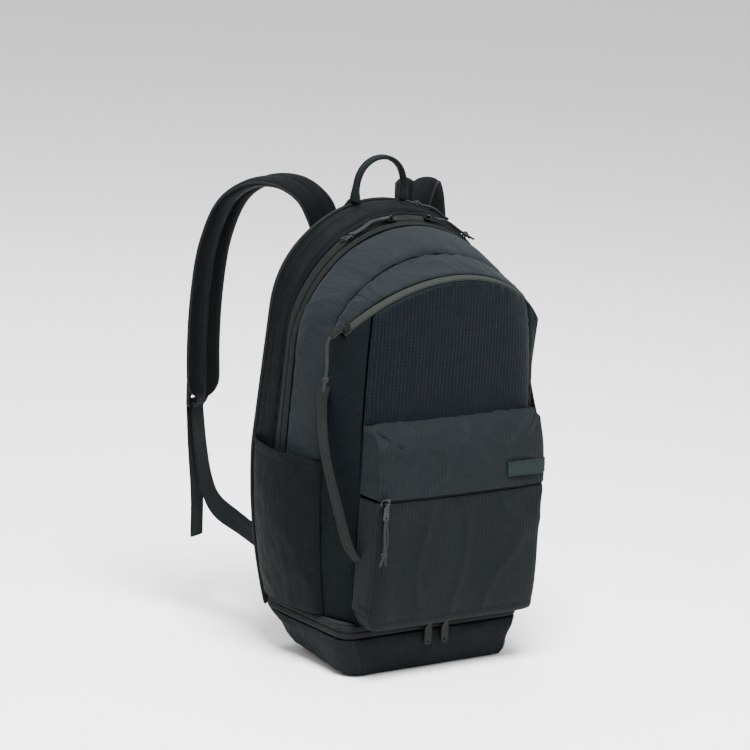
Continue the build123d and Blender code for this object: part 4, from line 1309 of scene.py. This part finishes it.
def add_pulls():
    main_z = main_seam.top - main_seam.crown
    # angle from the top, radius and shift in y of each point that a cord passes
    left_steps = ((-17, 153.4, 1.2), (-20, 152.2, 0.2), (-23.5, 151.6, -1.6), (-27, 151.9, -1.4))
    right_steps = ((23, 153.4, -1.2), (26, 152.2, -1.8), (29.5, 151.6, -0.4), (33.5, 152.2, 0.4))
    for name, angle, pull, steps in (
        ("main_left", -7.0, -1, left_steps),
        ("main_right", 13.0, 1, right_steps),
    ):
        bar = on_circle(main_z, MAIN_Y, 152.1, angle)
        route = [on_circle(main_z, MAIN_Y + shift, radius, turn) for turn, radius, shift in steps]
        add_pull(name, bar, tangent(angle) * pull, np.array([0, 1.0, 0]), route)
    racket = back.between(racket_seam, RACKET_ZIP_Y)
    racket_z = racket.top - racket.crown
    angle = 34.0
    bar = on_circle(racket_z, RACKET_ZIP_Y, racket.crown + 5.5, angle)
    steps = ((23.5, 154.6, -0.6), (20.5, 153.2, -1.6), (17.5, 152.6, -1.0))
    route = [on_circle(racket_z, RACKET_ZIP_Y + shift, radius, turn) for turn, radius, shift in steps]
    add_pull("racket", bar, -tangent(angle), np.array([0, 1.0, 0]), route)

    angle = -49.0
    bar, up = arc_line(angle, 0.0, 7.6)[0], arc_out(angle)[0]
    lift = radians(4)
    run = np.cross(ARC_AXIS, up)
    run = -run if run[2] > 0 else run
    pull = run * cos(lift) + up * sin(lift)
    tip = bar + pull * PULLER_REACH
    hang = ((-0.6, 1.2, -9), (0.2, 1.0, -19), (0.4, 0.2, -30), (-0.8, -0.4, -41))
    add_pull("front", bar, pull, np.array([0.8, 0.6, 0]), [tip + np.array(h) for h in hang])

    bar = np.array([-109.0, -102.1, ZIP_Z])
    tip = bar + [0, 0, -PULLER_REACH]
    hang = ((1.0, 0.6, -8), (2.4, 1.0, -17), (2.6, 0.4, -26), (1.6, 0.2, -34))
    add_pull("pocket", bar, np.array([0, 0, -1.0]), np.array([1.0, 0, 0]), [tip + np.array(h) for h in hang])


# ---- shoulder straps ----
STRAP_LINES = {
    "left": [(-55, 104, 449), (-62, 108, 474), (-72, 117, 496), (-90, 137, 510), (-112, 162, 507),
             (-130, 185, 483), (-140, 199, 436), (-143, 205, 380), (-143, 206, 318), (-139, 205, 256)],
    "right": [(55, 104, 449), (58, 105, 470), (63, 109, 490), (72, 118, 502), (84, 130, 502), (94, 139, 487),
              (101, 142, 462), (108, 143, 420), (112, 140, 360), (111, 136, 305), (108, 132, 259)],
}
STRAP_TURN = {"left": radians(22), "right": radians(-8)}
PAD_HALF = 31.0
PAD_THICK = 12.0


def strap_section(side, count=30):
    """Across the pad: bound edges, and two stuffed channels with a deep crease between them."""
    a = np.linspace(-1, 1, count)
    split = 0.18 * side
    low, high = (a + 1) / (1 + split), (1 - a) / (1 - split)
    share = np.clip(np.where(a < split, low, high), 0, 1)
    lobe = np.sin(np.clip(share, 0, 1) * pi) ** 0.5
    lip = 1.3 / (PAD_THICK / 2)
    top = np.maximum(lip, lobe) * np.clip((1 - np.abs(a)) / 0.02, 0, 1) ** 0.5
    return a, top


def shoulder_strap(side, word):
    line_points = np.array(STRAP_LINES[word], float)
    turns = np.array([STRAP_TURN[word] * min(1.0, i / 4) for i in range(len(line_points))])
    widths = np.stack([np.cos(turns), np.sin(turns), np.zeros(len(turns))], 1)
    line, across, ahead = strap_frame(line_points, widths, 130)
    out = np.cross(across, ahead)
    out = out if out[-1][1] > 0 else -out
    run = travel(line[None], 1)[0]
    left = run[-1] - run
    taper = np.sqrt(np.clip(1 - (1 - np.clip(left / 26, 0, 1)) ** 2.2, 0.03, 1))
    root = np.clip(0.62 + run / 260, 0, 1)

    def pad_line(share):
        return line + across * (share * PAD_HALF * taper * root)[:, None]

    a, top = strap_section(-side)
    wobble = 0.35 * ripple(run, run * 0, 111 + side, 60, 1)
    flat = np.clip(taper * 1.15, 0.2, 1)
    faces = []
    for share, height in zip(a, top):
        faces.append(pad_line(share) + out * ((height * PAD_THICK / 2 + wobble * height) * flat)[:, None])
    for share, height in zip(a[::-1], top[::-1]):
        faces.append(pad_line(share) - out * ((height * PAD_THICK / 2) * flat)[:, None])
    p = np.stack(faces, axis=1)
    pad = grid(f"strap_pad_{word}_cloth", p, around=True, capped=True)
    body = f"strap_{word}"
    dress(pad, body, "strap", [f"strap_pad_{word}"])
    for share, name in ((-0.93, "inner"), (0.93, "outer")):
        for face, facing in (("top", 1), ("under", -1)):
            edge = pad_line(share) + out * facing * 1.9
            stitches = f"strap_{word}_{name}_{face}"
            stitch_row(stitches, edge[4:-6], out[4:-6] * facing, body=body, lift=0)
    for share, name in ((-0.985, "inner"), (0.985, "outer")):
        edge = pad_line(share)
        binding = tube(f"strap_{word}_binding_{name}", edge[2:-3], 1.5, 8)
        dress(binding, body, "binding", levels=0)

    end = line_points[-1]
    width_dir = unit(widths[-1])
    down = unit(line_points[-1] - line_points[-2])
    outward = unit(np.cross(width_dir, down))
    outward = outward if outward[1] > 0 else -outward
    load_top = end + outward * (PAD_THICK / 2 + 3.2) + down * 12.5
    reach = load_top[1]
    anchor_x = side * 118.0
    load = [load_top, (load_top[0] * 0.97, reach - 6, 196), (load_top[0] * 0.93, reach - 13, 158),
            (load_top[0] * 0.92, reach * 0.7 + 30, 137), (anchor_x + side * 4, reach * 0.4 + 60, 124)]
    load.append((anchor_x, 101, 113))
    twist = np.radians([0, 8, 30, 62, 84, 90])
    load_across = [width_dir * cos(t) + np.array([0, 0, 1.0]) * sin(t) for t in twist]
    web = grid(f"load_webbing_{word}", ribbon(load, load_across, 25, 1.7, 90), around=True, capped=True)
    dress(web, None, "webbing", [f"strap_webbing_{word}"])
    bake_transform(web)
    loop_line = [end - down * 9, end + outward * 3 + down * 3, end + outward * 8 + down * 10]
    loop_line.append(load_top + down * 4)
    loop = ribbon(loop_line, [width_dir] * 4, 24, 1.6, 24)
    loop = grid(f"lock_loop_{word}", loop, around=True, capped=True)
    dress(loop, body, "webbing")
    tail_top = end + outward * (PAD_THICK / 2 + 9.2) + down * 4
    drops = ([side * -3, -4, -52], [side * -10, -5, -110], [side * -16, 0, -160])
    tail_line = [tail_top] + [tail_top + drop for drop in drops]
    tail = ribbon(tail_line, [width_dir] * 4, 25, 1.7, 70)
    tail = grid(f"tail_webbing_{word}", tail, around=True, capped=True)
    dress(tail, f"tail_{word}", "webbing", [f"webbing_tail_{word}"])


def finish_cad_nodes():
    """Materials for the CAD parts that stay as they are."""
    kept = ["racket_divider", "front_divider", "floor_divider", "base_board", "back_stiffener"]
    for name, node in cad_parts.items():
        if name.startswith("bottom_") and name.endswith("_puller"):
            finish = "tab"
        elif name.endswith(("_slider", "_puller")):
            finish = "metal"
        elif name.startswith("ladder_lock"):
            finish = "plastic"
        elif name in kept:
            finish = "board"
        else:
            continue
        for part in node.material_slots:
            part.material = materials[finish]


add_camera()
add_stage()
add_lamp("key", -34, 66, 2.6, 1.2, 300)
add_lamp("fill", 25, 30, 3.0, 2.2, 14)
add_lamp("rim", 160, 58, 2.6, 1.4, 45)

add_pulls()
add_racket_compartment()
add_seam_allowances()
main_gusset("rear", RACKET_Y, MAIN_ZIP_REAR_Y, 5, 0.6, 121, "shell", crease=0.2)
add_main_zip()
# The front gusset takes the lightened shell nylon: painted light.
main_gusset("front", MAIN_ZIP_FRONT_Y, POCKET_SEAM_Y, 19, 3.2, 131, "shell_painted_light", crease=1.4)
add_front_zip()
add_crescent()
add_front()
add_pocket()
add_label()
for side, word in SIDES:
    side_pocket(side, word)
    shoulder_strap(side, word)
add_side_straps()
add_back()
add_shoe_compartment()
add_haul_loop()
finish_cad_nodes()
